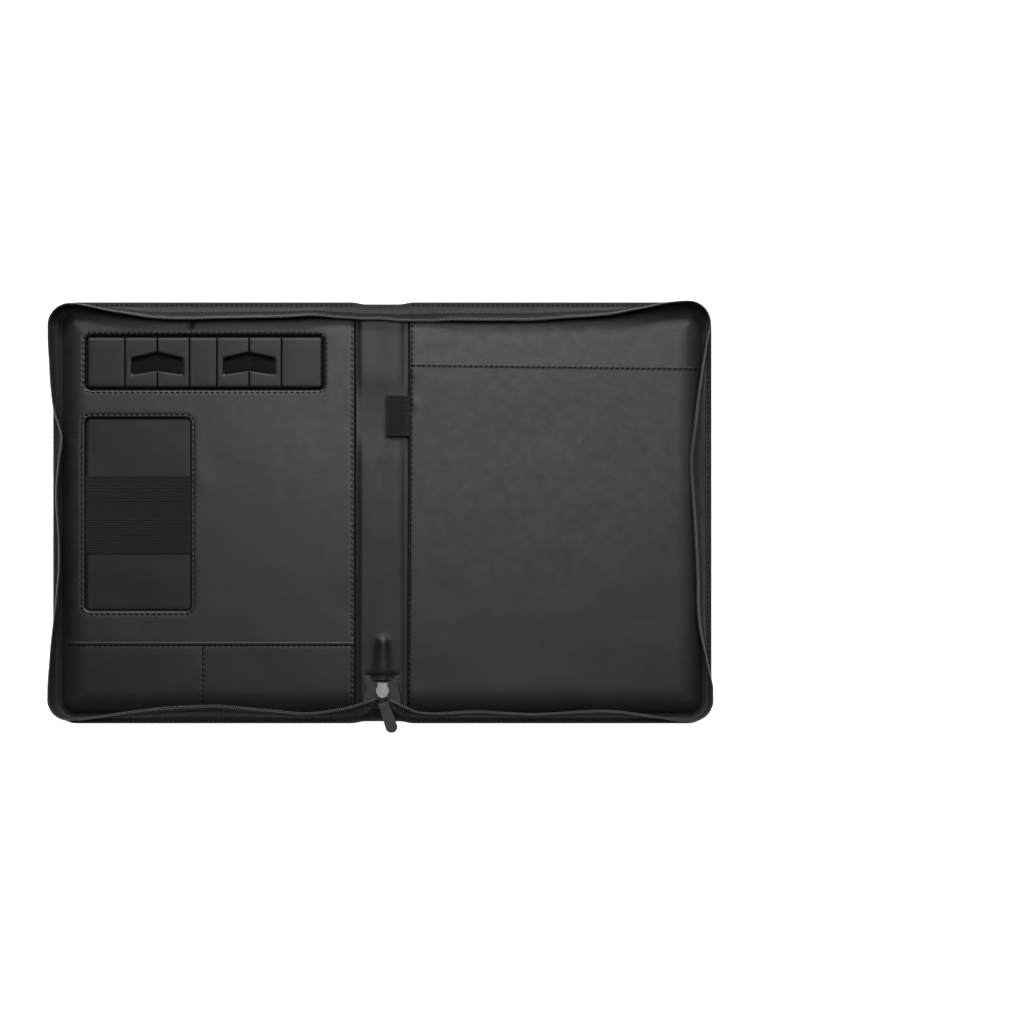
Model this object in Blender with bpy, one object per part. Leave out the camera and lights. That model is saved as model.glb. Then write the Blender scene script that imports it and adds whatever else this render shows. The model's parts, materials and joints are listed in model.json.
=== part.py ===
"""Zip-round A4 portfolio case, lying open flat on its back.

+X runs from the spine to the right cover's fore-edge, +Y to the top edge, +Z up.
The origin is on the resting surface, under the middle of the spine.
Every number below is in millimetres; MM turns it into metres when a mesh is made.
"""
import math

import bmesh
import bpy
from mathutils import Matrix, Vector

MM = 0.001

# Driving dimensions
HEIGHT = 355.0
CLOSED_DEPTH = 42.0
COVER_WIDTH = 256.5
GAP = 0.3

# The covers, from the resting surface up
SKIN = 1.2
BOARD_LOW, BOARD_TOP = 1.5, 3.3
PANEL_LOW, PANEL_RIM, PANEL_TOP = 3.6, 4.6, 6.1
FLOOR_TOP = 4.2
POCKET_LOW, POCKET_TOP = 6.4, 7.3

CREASE_X = CLOSED_DEPTH / 2
CREASE_Z = SKIN / 2
EDGE_X = CREASE_X + COVER_WIDTH
EDGE_Y = HEIGHT / 2
CORNER_RADIUS = 20.0
CREASE_GAP = 0.9

# Inner panels: distance in from the cover's edge at their rim and where they reach full thickness
PANEL_INSET, PANEL_CROWN_INSET = 8.0, 10.2
PANEL_START_X = CREASE_X + 0.9
POCKET_INSET = 11.2
POCKET_START_X = PANEL_START_X + 1.2
PAD_POCKET_TOP_Y = 124.5
CARD_POCKET_TOP_Y = -108.3

# Zip wall that stands on each cover's rim
WALL_INSET = 5.0
WALL_LENGTH = 17.6
WALL_THICKNESS = 1.0
WALL_START_X = CREASE_X + 15.0
FLANGE_TOP = 4.4
GUSSET_REACH = 9.5
TAPE_REACH, TAPE_FACES = (9.8, 15.4), (0.1, 0.9)
COIL_REACH, COIL_FACES = (15.7, 17.6), (-0.6, 1.4)
DROOP_NEAR_SPINE = 0.62
DROOP_END_X = 70.0

# How far the wall's top leans in from its foot, along each run: (place along the run, lean)
RIGHT_LEAN = {
    "top": ((36, 11.8), (130, 11.6), (188, 7.3), (218, 2.0), (251, -4.0)),
    "fore": ((144, -3.0), (112, 5.9), (41, 13.6), (-79, 8.2), (-127, 0.0), (-145, -4.4)),
    "bottom": ((251, -1.5), (193, 7.1), (128, 5.0), (75, 6.9), (36, 5.0)),
}
LEFT_LEAN = {
    "top": ((36, 9.8), (55, 8.0), (150, 10.4), (214, 6.2), (256, -2.0)),
    "fore": ((145, -5.4), (92, -1.3), (63, 6.5), (14, 2.4), (-55, 3.8), (-120, -3.4), (-145, -5.2)),
    "bottom": ((251, -0.5), (192, 8.6), (140, 11.3), (63, 5.4), (36, 6.0)),
}

# Spine, its lining and the two ends
SPINE_HALF = 12.0
SPINE_END_Y = EDGE_Y - 2.0
STIFFENER_TOP = 2.3
LINING_LOW, LINING_TOP = 2.6, 3.2
LINING_END_Y = 160.0
SPINE_WALL_HALF = 14.0
SPINE_WALL_FOOT_Y = 172.0
SPINE_FLANGE = SPINE_END_Y - 0.6 - SPINE_WALL_FOOT_Y
FLANGE_LOW, FLANGE_HIGH = 1.5, 2.3

# Zip end at the bottom of the spine: the flap rises towards the slider
FLAP_HEAD_Y, FLAP_TAIL_Y = -140.5, -160.5
FLAP_HEAD_Z, FLAP_TAIL_Z = 3.5, 7.1
FLAP_HEAD_HALF, FLAP_TAIL_HALF = 13.0, 14.0
FLAP_THICKNESS = 0.9
FLAP_ANGLE = math.atan2(FLAP_TAIL_Z - FLAP_HEAD_Z, FLAP_HEAD_Y - FLAP_TAIL_Y)
SLIDER_X, SLIDER_Y = 0.85, -150.2
SLIDER_BODY = (10.5, 11.5, 4.0)
SLIDER_WEB, SLIDER_LIP = 1.2, 1.0
CAP_LOW, CAP_TOP = 5.9, 7.1
LINK_BACK = -8.2
LINK_LEVEL = 5.0
PULLER_TILT = math.radians(16.6)
PULLER_DROOP = math.radians(19.0)
PULLER_START, PULLER_LENGTH, PULLER_THICKNESS = 2.3, 28.4, 1.7
PULLER_HALF_NEAR, PULLER_HALF_FAR = 4.3, 5.0
LINK_HALF = 0.4
LINK_OUTER = (-2.7, 2.7), (-2.0, 0.45)
LINK_HOLE = (-1.9, 1.9), (-1.25, -0.35)
CAP_LEG = (-2.6, 2.6), (3.4, 5.6)

# Tail of the closed zip under the lining: (y, (x, z) corners) of its two ends
ZIP_TAIL_SECTIONS = (
    (-137.5, ((-3.4, 3.5), (3.8, 3.5), (2.4, 5.2), (-1.8, 5.2))),
    (-103.0, ((-1.2, 3.5), (2.8, 3.5), (1.6, 4.0), (0.2, 4.0))),
)

# Coil ends beside the slider: outer path of the right one, seen from above
COIL_END_PATH = ((7.1, -156.8), (12.9, -159.7))
COIL_END_Z, COIL_END_HEIGHT = 8.5, 1.8

# Phone recess in the left panel
PHONE_X, PHONE_Y = (-249.6, -161.2), (-82.4, 79.6)
ELASTIC_Y = (-34.6, 31.1)
ELASTIC_LOW, ELASTIC_TOP = 4.5, 5.7

# Folding stand, a strip of padded panels in its own recess
STRIP_X, STRIP_Y = (-248.1, -50.4), (104.5, 147.8)
STRIP_LOW, STRIP_TOP = 4.6, 7.1
STRIP_CLEARANCE = 1.2
STAND_FIXED_END, STAND_LEG, STAND_BRIDGE = 31.8, 27.2, 23.0
HINGE_GAP = 0.3
WINDOW_REACH = 21.3
WINDOW_SIDE_Y, WINDOW_APEX_Y = (116.5, 129.5), (119.7, 134.3)

# Pen loop over the spine, on the right panel's edge; it swings at the pocket's edge
PEN_Y = (64.1, 98.1)
PEN_SEAM_X, PEN_SEAM_Z = 23.4, 7.9
PEN_TUBE_X, PEN_TUBE_Z = (3.0, 19.6), (8.6, 15.0)
PEN_WALL = 0.8


def clear_scene():
    for old in list(bpy.data.objects):
        bpy.data.objects.remove(old)


def material(name, colour, roughness, metallic=0.0):
    made = bpy.data.materials.new(name)
    made.use_nodes = True
    shader = made.node_tree.nodes["Principled BSDF"]
    shader.inputs["Base Color"].default_value = (*colour, 1.0)
    shader.inputs["Roughness"].default_value = roughness
    shader.inputs["Metallic"].default_value = metallic
    made.diffuse_color = (*colour, 1.0)
    return made


def finish_object(name, bm, surface, pivot=None):
    """Turns a bmesh drawn in millimetres into the named object, on its joint's empty where it moves."""
    bmesh.ops.recalc_face_normals(bm, faces=bm.faces)
    bmesh.ops.scale(bm, vec=(MM, MM, MM), verts=bm.verts)
    mesh = bpy.data.meshes.new(name)
    bm.to_mesh(mesh)
    bm.free()
    mesh.materials.append(surface)
    made = bpy.data.objects.new(name, mesh)
    bpy.context.collection.objects.link(made)
    if pivot is not None:
        made.parent = pivot
        made.matrix_parent_inverse = pivot.matrix_world.inverted()
    return made


def joint_empty(name, place, parent=None):
    """An empty on a joint's axis; the moving pieces are its children."""
    empty = bpy.data.objects.new(name, None)
    bpy.context.collection.objects.link(empty)
    empty.location = Vector(place) * MM
    bpy.context.view_layer.update()
    if parent is not None:
        empty.parent = parent
        empty.matrix_parent_inverse = parent.matrix_world.inverted()
        bpy.context.view_layer.update()
    return empty


def rounded_outline(x_range, y_range, radii, steps=6):
    """Anticlockwise rectangle; its radii start at the low x, low y corner and go round anticlockwise."""
    (x0, x1), (y0, y1) = x_range, y_range
    corners = ((x0, y0, 1, 1), (x1, y0, -1, 1), (x1, y1, -1, -1), (x0, y1, 1, -1))
    points = []
    for turn, ((x, y, sx, sy), radius) in enumerate(zip(corners, radii)):
        if radius == 0:
            points.append((x, y))
            continue
        start = math.pi + turn * math.pi / 2
        for step in range(steps + 1):
            angle = start + step * math.pi / 2 / steps
            centre_x, centre_y = x + sx * radius, y + sy * radius
            points.append((centre_x + radius * math.cos(angle), centre_y + radius * math.sin(angle)))
    return points


def cover_outline(side, start_x, inset, low_y=None, high_y=None):
    """Outline of a piece of one cover, inset from its edge, round at the fore-edge corners."""
    low = -EDGE_Y + inset if low_y is None else low_y
    high = EDGE_Y - inset if high_y is None else high_y
    radius = CORNER_RADIUS - inset
    low_radius = radius if low_y is None else 0
    high_radius = radius if high_y is None else 0
    if side > 0:
        return rounded_outline((start_x, EDGE_X - inset), (low, high), (0, low_radius, high_radius, 0))
    return rounded_outline((inset - EDGE_X, -start_x), (low, high), (low_radius, 0, 0, high_radius))


def skirt(bm, lower, upper):
    for here, after in zip(range(len(lower)), list(range(1, len(lower))) + [0]):
        bm.faces.new((lower[here], lower[after], upper[after], upper[here]))


def closing_face(bm, loops):
    """Fills the area inside the first loop and outside the others."""
    if len(loops) == 1:
        bm.faces.new(loops[0])
        return
    edges = []
    for loop in loops:
        for here, after in zip(loop, loop[1:] + loop[:1]):
            edges.append(bm.edges.get((here, after)))
    bmesh.ops.triangle_fill(bm, edges=edges, use_beauty=True)


def slab(name, rings, surface, holes=(), pivot=None, frame=Matrix.Identity(4)):
    """One closed solid between outlines at rising heights, with straight holes; frame places it."""

    def loop(bm, outline, height):
        return [bm.verts.new(frame @ Vector((x, y, height))) for x, y in outline]

    bm = bmesh.new()
    outer = [loop(bm, outline, height) for outline, height in rings]
    for lower, upper in zip(outer, outer[1:]):
        skirt(bm, lower, upper)
    low_holes = [loop(bm, outline, rings[0][1]) for outline in holes]
    high_holes = [loop(bm, outline, rings[-1][1]) for outline in holes]
    for lower, upper in zip(low_holes, high_holes):
        skirt(bm, lower, upper)
    closing_face(bm, [outer[0]] + low_holes)
    closing_face(bm, [outer[-1]] + high_holes)
    return finish_object(name, bm, surface, pivot)


def plate(name, outline, low, high, surface, **options):
    return slab(name, ((outline, low), (outline, high)), surface, **options)


def loft(name, sections, surface, pivot=None):
    """One closed solid through a row of equal cross-sections."""
    bm = bmesh.new()
    loops = [[bm.verts.new(point) for point in section] for section in sections]
    for lower, upper in zip(loops, loops[1:]):
        skirt(bm, lower, upper)
    bm.faces.new(loops[0])
    bm.faces.new(loops[-1])
    return finish_object(name, bm, surface, pivot)


# ---------------------------------------------------------------- covers and linings


def build_cover(side, word, surfaces, pivot):
    plate("outer_cover_" + word, cover_outline(side, CREASE_X + CREASE_GAP, 0), 0, SKIN,
          surfaces["leather"], pivot=pivot)
    plate("cover_board_" + word, cover_outline(side, CREASE_X + 1.5, 1.0), BOARD_LOW, BOARD_TOP,
          surfaces["board"], pivot=pivot)


def panel_rings(side):
    rim = cover_outline(side, PANEL_START_X, PANEL_INSET)
    crown = cover_outline(side, PANEL_START_X + 0.6, PANEL_CROWN_INSET)
    return ((rim, PANEL_LOW), (rim, PANEL_RIM), (crown, PANEL_TOP))


def build_right_lining(surfaces):
    slab("inner_panel_right", panel_rings(1), surfaces["lining"])
    outline = cover_outline(1, POCKET_START_X, POCKET_INSET, high_y=PAD_POCKET_TOP_Y)
    plate("pad_pocket", outline, POCKET_LOW, POCKET_TOP, surfaces["lining"])


def stand_recess_range():
    return (tuple(STRIP_X[i] + (-1, 1)[i] * STRIP_CLEARANCE for i in (0, 1)),
            tuple(STRIP_Y[i] + (-1, 1)[i] * STRIP_CLEARANCE for i in (0, 1)))


def build_left_lining(surfaces, pivot):
    stand_range = stand_recess_range()
    stand_hole = rounded_outline(*stand_range, (4.5,) * 4, steps=3)
    phone_hole = rounded_outline(PHONE_X, PHONE_Y, (4.2,) * 4, steps=3)
    slab("inner_panel_left", panel_rings(-1), surfaces["lining"], holes=(stand_hole, phone_hole), pivot=pivot)
    for name, hole_range, cloth in (("stand_recess_floor", stand_range, "backing"),
                                    ("phone_recess_floor", (PHONE_X, PHONE_Y), "lining")):
        inner = [(low + GAP, high - GAP) for low, high in hole_range]
        outline = rounded_outline(*inner, (4.0,) * 4, steps=3)
        plate(name, outline, PANEL_LOW, FLOOR_TOP, surfaces[cloth], pivot=pivot)
    band = rounded_outline((PHONE_X[0] + GAP, PHONE_X[1] - GAP), ELASTIC_Y, (0,) * 4)
    plate("phone_elastic", band, ELASTIC_LOW, ELASTIC_TOP, surfaces["elastic"], pivot=pivot)
    outline = cover_outline(-1, POCKET_START_X, POCKET_INSET, high_y=CARD_POCKET_TOP_Y)
    plate("card_pocket", outline, POCKET_LOW, POCKET_TOP, surfaces["lining"], pivot=pivot)


# ---------------------------------------------------------------- zip walls


def eased(keys, place):
    """Value at a place between keyed values, eased between neighbours."""
    for (here, low), (after, high) in zip(keys, keys[1:]):
        if min(here, after) <= place <= max(here, after):
            share = (place - here) / (after - here)
            return low + (high - low) * share * share * (3 - 2 * share)
    return keys[0][1] if abs(place - keys[0][0]) < abs(place - keys[-1][0]) else keys[-1][1]


def run_places(start, end, count):
    return [start + (end - start) * step / count for step in range(count + 1)]


def wall_stations(side, leans):
    """Foot, inward direction and lean along one half's rim, from the spine's top end to its bottom end."""
    radius = CORNER_RADIUS - WALL_INSET
    corner_x, corner_y = EDGE_X - CORNER_RADIUS, EDGE_Y - CORNER_RADIUS
    foot_x, foot_y = EDGE_X - WALL_INSET, EDGE_Y - WALL_INSET
    stations = [((x, foot_y), (0, -1), eased(leans["top"], x))
                for x in run_places(WALL_START_X, corner_x - 6, 12)]
    for place, first, last in ((corner_y, leans["top"][-1][1], leans["fore"][0][1]),
                               (-corner_y, leans["fore"][-1][1], leans["bottom"][0][1])):
        start = math.pi / 2 if place > 0 else 0
        for step in range(7):
            angle = start - step * math.pi / 12
            outward = (math.cos(angle), math.sin(angle))
            foot = (corner_x + radius * outward[0], place + radius * outward[1])
            stations.append((foot, (-outward[0], -outward[1]), first + (last - first) * step / 6))
        if place > 0:
            stations += [((foot_x, y), (-1, 0), eased(leans["fore"], y))
                         for y in run_places(corner_y - 6, 6 - corner_y, 16)]
    stations += [((x, -foot_y), (0, 1), eased(leans["bottom"], x))
                 for x in run_places(corner_x - 6, WALL_START_X, 12)]
    return [((side * foot[0], foot[1]), (side * inward[0], inward[1]), lean)
            for foot, inward, lean in stations]


def droop(x):
    """Share of its full height that the wall keeps; it sinks towards the spine."""
    share = min(1.0, (abs(x) - WALL_START_X) / (DROOP_END_X - WALL_START_X))
    return DROOP_NEAR_SPINE + (1 - DROOP_NEAR_SPINE) * share


def wall_frame(station):
    """Foot point, step up the wall per millimetre of cloth, inward normal and level inward direction."""
    (x, y), inward, lean = station
    rise = math.sqrt(WALL_LENGTH ** 2 - lean ** 2) * droop(x)
    along = Vector((inward[0] * lean, inward[1] * lean, rise)) / WALL_LENGTH
    unit = along.normalized()
    flat = Vector((inward[0], inward[1], 0))
    normal = (flat - unit * flat.dot(unit)).normalized()
    return Vector((x, y, PANEL_LOW)), along, normal, flat


def gusset_section(station):
    foot, along, normal, flat = wall_frame(station)
    edge = foot - flat * (WALL_INSET - 0.6)
    lip = Vector((0, 0, FLANGE_TOP - PANEL_LOW))
    return (edge, foot + flat * WALL_THICKNESS, foot + along * GUSSET_REACH + normal * WALL_THICKNESS,
            foot + along * GUSSET_REACH, foot + lip, edge + lip)


def band_section(station, reach, inner, outer):
    foot, along, normal, _ = wall_frame(station)
    start, end = foot + along * reach[0], foot + along * reach[1]
    return (start + normal * outer, end + normal * outer, end + normal * inner, start + normal * inner)


def build_zip_wall(side, word, leans, surfaces, pivot):
    stations = wall_stations(side, leans)
    loft("zip_gusset_" + word, [gusset_section(s) for s in stations], surfaces["webbing"], pivot)
    tape = [band_section(station, TAPE_REACH, *TAPE_FACES) for station in stations]
    loft("zip_tape_" + word, tape, surfaces["tape"], pivot)
    coil = [band_section(station, COIL_REACH, *COIL_FACES) for station in stations]
    loft("zip_coil_" + word, coil, surfaces["coil"], pivot)


# ---------------------------------------------------------------- spine


def side_profile(name, profile, half_width, surface, pivot):
    """A closed (y, z) profile, extruded across the spine."""
    sections = [[Vector((x, y, z)) for y, z in profile] for x in (-half_width, half_width)]
    return loft(name, sections, surface, pivot)


def build_spine(surfaces, pivot):
    skin_reach = CREASE_X - CREASE_GAP
    skin = rounded_outline((-skin_reach, skin_reach), (-SPINE_END_Y, SPINE_END_Y), (0,) * 4)
    plate("outer_spine", skin, 0, SKIN, surfaces["leather"], pivot=pivot)
    core = rounded_outline((-SPINE_HALF, SPINE_HALF), (-LINING_END_Y, LINING_END_Y), (3.0,) * 4, steps=3)
    plate("spine_stiffener", core, BOARD_LOW, STIFFENER_TOP, surfaces["board"], pivot=pivot)
    plate("spine_lining", core, LINING_LOW, LINING_TOP, surfaces["lining"], pivot=pivot)
    build_spine_top(surfaces, pivot)
    build_spine_bottom(surfaces, pivot)


def build_spine_top(surfaces, pivot):
    """Short wall at the spine's top end: (distance in from its foot, height) corners of each layer."""
    foot = SPINE_WALL_FOOT_Y
    gusset = ((-SPINE_FLANGE, FLANGE_LOW), (1.2, FLANGE_LOW), (5.6, 7.9), (4.6, 8.4), (0.4, FLANGE_HIGH),
              (-SPINE_FLANGE, FLANGE_HIGH))
    tape = ((5.0, 8.7), (5.8, 8.2), (8.2, 11.4), (7.4, 11.9))
    coil = ((7.4, 12.3), (8.8, 11.7), (9.7, 13.2), (8.2, 13.8))
    for name, corners, surface in (("spine_gusset_top", gusset, "webbing"), ("spine_tape_top", tape, "tape"),
                                   ("spine_coil_top", coil, "coil")):
        profile = [(foot - inward, height) for inward, height in corners]
        side_profile(name, profile, SPINE_WALL_HALF, surfaces[surface], pivot)


def build_spine_bottom(surfaces, pivot):
    """Low gusset, end flap, tail of the closed zip, and the coil ends that run into the slider."""
    foot = -SPINE_WALL_FOOT_Y
    gusset = ((-SPINE_FLANGE, FLANGE_LOW), (1.2, FLANGE_LOW), (10.6, 6.5), (10.2, 7.3), (0.4, FLANGE_HIGH),
              (-SPINE_FLANGE, FLANGE_HIGH))
    profile = [(foot + inward, height) for inward, height in gusset]
    side_profile("spine_gusset_bottom", profile, SPINE_WALL_HALF, surfaces["webbing"], pivot)

    flap_ends = ((FLAP_HEAD_Y, FLAP_HEAD_Z, FLAP_HEAD_HALF), (FLAP_TAIL_Y, FLAP_TAIL_Z, FLAP_TAIL_HALF))
    (head_y, head_z, head_half), (tail_y, tail_z, tail_half) = flap_ends
    lower = [Vector((-head_half, head_y, head_z)), Vector((head_half, head_y, head_z)),
             Vector((tail_half, tail_y, tail_z)), Vector((-tail_half, tail_y, tail_z))]
    upper = [corner + Vector((0, 0, FLAP_THICKNESS)) for corner in lower]
    loft("zip_end_flap", (lower, upper), surfaces["lining"], pivot)

    sections = [[Vector((x, y, z)) for x, z in section] for y, section in ZIP_TAIL_SECTIONS]
    loft("zip_tail", sections, surfaces["lining"], pivot)

    for side, word in ((1, "right"), (-1, "left")):
        across = Vector((0.9 * side, 1.8, 0.0))
        up = Vector((0, 0, COIL_END_HEIGHT))
        sections = []
        for x, y in COIL_END_PATH:
            point = Vector((x * side, y, COIL_END_Z))
            sections.append((point, point + across, point + across + up, point + up))
        loft("spine_coil_bottom_" + word, sections, surfaces["coil"], pivot)


# ---------------------------------------------------------------- slider and puller


def slider_frame():
    """Frame on the flap's face under the slider: x across, y down the slope to the lining, z off the face."""
    rise = FLAP_THICKNESS + FLAP_HEAD_Z + (FLAP_HEAD_Y - SLIDER_Y) * math.tan(FLAP_ANGLE)
    return Matrix.Translation((SLIDER_X, SLIDER_Y, rise)) @ Matrix.Rotation(-FLAP_ANGLE, 4, "X")


def shield_outline():
    """Cap seen from above: straight head, shoulders, and a rounded point towards the puller."""
    half = ((4.3, 6.6), (4.3, 3.2), (5.9, 0.2), (5.6, -1.6), (4.2, -4.0), (2.4, -5.9), (0.9, -6.7))
    return [(-x, y) for x, y in half] + [(x, y) for x, y in reversed(half)]


def build_slider(surfaces, pivot):
    frame = slider_frame()
    width, length, height = SLIDER_BODY
    half, web, lip = width / 2, SLIDER_WEB, SLIDER_LIP
    right_side = [(half, 0.0), (half, lip), (web, lip), (web, height - lip), (half, height - lip),
                  (half, height)]
    beam = [(-half, 0.0)] + right_side + [(-x, z) for x, z in right_side[:0:-1]]
    sections = [[frame @ Vector((x, y, z + GAP)) for x, z in beam] for y in (-length / 2, length / 2)]
    loft("slider_body", sections, surfaces["dark_metal"], pivot)
    cap = plate("slider_cap", shield_outline(), CAP_LOW, CAP_TOP, surfaces["light_metal"], pivot=pivot,
                frame=frame)
    leg = plate("slider_cap_leg", rounded_outline(*CAP_LEG, (0,) * 4),
                GAP + height + GAP, CAP_LOW + 0.4, surfaces["light_metal"], pivot=pivot, frame=frame)
    leg.hide_render = True
    leg.display_type = "WIRE"
    union = cap.modifiers.new("leg", "BOOLEAN")
    union.operation = "UNION"
    union.solver = "EXACT"
    union.object = leg


def puller_pivot():
    return slider_frame() @ Vector((0, LINK_BACK, LINK_LEVEL))


def build_puller(surfaces, pivot):
    frame = Matrix.Translation(puller_pivot()) @ Matrix.Rotation(PULLER_TILT, 4, "Z")
    frame = frame @ Matrix.Rotation(PULLER_DROOP, 4, "X")
    outer = rounded_outline(*LINK_OUTER, (0.7, 0.7, 0, 0), steps=3)
    inner = rounded_outline(*LINK_HOLE, (0,) * 4)
    plate("puller_link", outer, -LINK_HALF, LINK_HALF, surfaces["dark_metal"], holes=(inner,), pivot=pivot,
          frame=frame)
    near, far = PULLER_HALF_NEAR, PULLER_HALF_FAR
    end = -PULLER_START - PULLER_LENGTH
    outline = [(near, -PULLER_START), (-near, -PULLER_START)]
    for step in range(13):
        angle = math.pi + step * math.pi / 12
        outline.append((far * math.cos(angle), end + far + far * math.sin(angle)))
    half = PULLER_THICKNESS / 2
    plate("puller_tab", outline, -half, half, surfaces["puller"], pivot=pivot, frame=frame)


# ---------------------------------------------------------------- folding stand


def leg_outline(foot_x, apex_x):
    """A leg with half a chevron window cut into its apex side."""
    toward = 1 if apex_x > foot_x else -1
    foot, apex = foot_x + toward * HINGE_GAP, apex_x - toward * HINGE_GAP
    inner = apex - toward * (WINDOW_REACH - HINGE_GAP)
    (low, high), (side_low, side_high), (apex_low, apex_high) = STRIP_Y, WINDOW_SIDE_Y, WINDOW_APEX_Y
    points = [(foot, low), (apex, low), (apex, apex_low), (inner, side_low), (inner, side_high),
              (apex, apex_high), (apex, high), (foot, high)]
    return points if toward > 0 else points[::-1]


def build_stand(surfaces, pivot):
    x = STRIP_X[0] + STAND_FIXED_END
    lines = [x]
    for length in (STAND_LEG, STAND_LEG, STAND_BRIDGE, STAND_LEG, STAND_LEG):
        x += length
        lines.append(x)
    foot_left, apex_left, bridge_left, bridge_right, apex_right, foot_right = lines
    middle = sum(STRIP_Y) / 2

    def panel(name, outline, parent):
        plate(name, outline, STRIP_LOW, STRIP_TOP, surfaces["stand"], pivot=parent)

    panel("stand_fixed_end",
          rounded_outline((STRIP_X[0], foot_left - HINGE_GAP), STRIP_Y, (3.4, 0, 0, 3.4), steps=3), pivot)
    chain = (
        ("stand_leg_1a", leg_outline(foot_left, apex_left), foot_left, STRIP_TOP),
        ("stand_leg_1b", leg_outline(bridge_left, apex_left), apex_left, STRIP_LOW),
        ("stand_bridge",
         rounded_outline((bridge_left + HINGE_GAP, bridge_right - HINGE_GAP), STRIP_Y, (0,) * 4),
         bridge_left, STRIP_TOP),
        ("stand_leg_2a", leg_outline(bridge_right, apex_right), bridge_right, STRIP_TOP),
        ("stand_leg_2b", leg_outline(foot_right, apex_right), apex_right, STRIP_LOW),
        ("stand_sliding_end",
         rounded_outline((foot_right + HINGE_GAP, STRIP_X[1]), STRIP_Y, (0, 3.4, 3.4, 0), steps=3),
         foot_right, STRIP_TOP),
    )
    for name, outline, hinge_x, hinge_z in chain:
        pivot = joint_empty("hinge_" + name, (hinge_x, middle, hinge_z), pivot)
        panel(name, outline, pivot)


# ---------------------------------------------------------------- pen loop


def build_pen_loop(surfaces, pivot):
    """A flattened tube of elastic whose tail drops to the seam; drawn in (x, z) and run along Y."""
    (x0, x1), (z0, z1) = PEN_TUBE_X, PEN_TUBE_Z
    radius = (z1 - z0) / 2
    outer, inner = [], []
    for step in range(9):
        angle = math.pi / 2 + step * math.pi / 8
        wave, rise = math.cos(angle), math.sin(angle)
        outer.append((x0 + radius + radius * wave, z0 + radius + radius * rise))
        inner.append((x0 + radius + (radius - PEN_WALL) * wave, z0 + radius + (radius - PEN_WALL) * rise))
    outer += [(x1 - 2.0, z0), (PEN_SEAM_X - 0.4, PEN_SEAM_Z + 0.5), (PEN_SEAM_X + 0.4, PEN_SEAM_Z + 1.4),
              (x1 + 0.6, z1 - 2.4), (x1 - 1.0, z1)]
    inner += [(x1 - 2.2, z0 + PEN_WALL), (x1 - 0.6, z0 + PEN_WALL + 0.9), (x1 - 0.5, z1 - 2.6),
              (x1 - 1.4, z1 - PEN_WALL)]
    frame = Matrix(((1, 0, 0, 0), (0, 0, 1, 0), (0, 1, 0, 0), (0, 0, 0, 1)))
    plate("pen_loop", outer, *PEN_Y, surfaces["elastic"], holes=(inner,), pivot=pivot, frame=frame)


def make_surfaces():
    return {
        "leather": material("outer leatherette", (0.030, 0.031, 0.033), 0.55),
        "lining": material("lining leatherette", (0.036, 0.037, 0.039), 0.60),
        "stand": material("padded stand leatherette", (0.040, 0.041, 0.043), 0.58),
        "board": material("cover board", (0.24, 0.20, 0.15), 0.90),
        "backing": material("backing cloth", (0.006, 0.006, 0.008), 0.95),
        "webbing": material("gusset webbing", (0.030, 0.030, 0.030), 0.90),
        "tape": material("zip tape", (0.024, 0.024, 0.024), 0.92),
        "coil": material("zip coil", (0.060, 0.061, 0.064), 0.45),
        "elastic": material("ribbed elastic", (0.032, 0.032, 0.034), 0.88),
        "light_metal": material("satin slider cap", (0.30, 0.30, 0.31), 0.45, 0.9),
        "dark_metal": material("dark slider metal", (0.05, 0.05, 0.055), 0.45, 0.9),
        "puller": material("puller tab", (0.066, 0.067, 0.068), 0.60),
    }


def main():
    clear_scene()
    surfaces = make_surfaces()
    spine = joint_empty("hinge_spine", (CREASE_X, 0, CREASE_Z))
    left = joint_empty("hinge_left_cover", (-CREASE_X, 0, CREASE_Z), spine)
    pen = joint_empty("hinge_pen_loop", (PEN_SEAM_X, sum(PEN_Y) / 2, PEN_SEAM_Z))
    slider = joint_empty("slide_zip", slider_frame().translation, spine)
    puller = joint_empty("hinge_puller", puller_pivot(), slider)
    build_cover(1, "right", surfaces, None)
    build_right_lining(surfaces)
    build_zip_wall(1, "right", RIGHT_LEAN, surfaces, None)
    build_pen_loop(surfaces, pen)
    build_spine(surfaces, spine)
    build_slider(surfaces, slider)
    build_puller(surfaces, puller)
    build_cover(-1, "left", surfaces, left)
    build_left_lining(surfaces, left)
    build_zip_wall(-1, "left", LEFT_LEAN, surfaces, left)
    build_stand(surfaces, left)


main()
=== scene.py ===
"""Looks of the zip-round portfolio case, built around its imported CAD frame.

Leather skins, padded panels, stitched pockets, ribbed elastic, woven zip walls with a wound
nylon coil, and the slider. Lengths are in millimetres, in the frame's axes: +X from the spine
towards the right cover's fore-edge, +Y towards the top edge, +Z up. Meshes are made in metres.
"""
import json
import math

import bpy
import numpy as np
from mathutils import Matrix, Vector, geometry, noise


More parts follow.
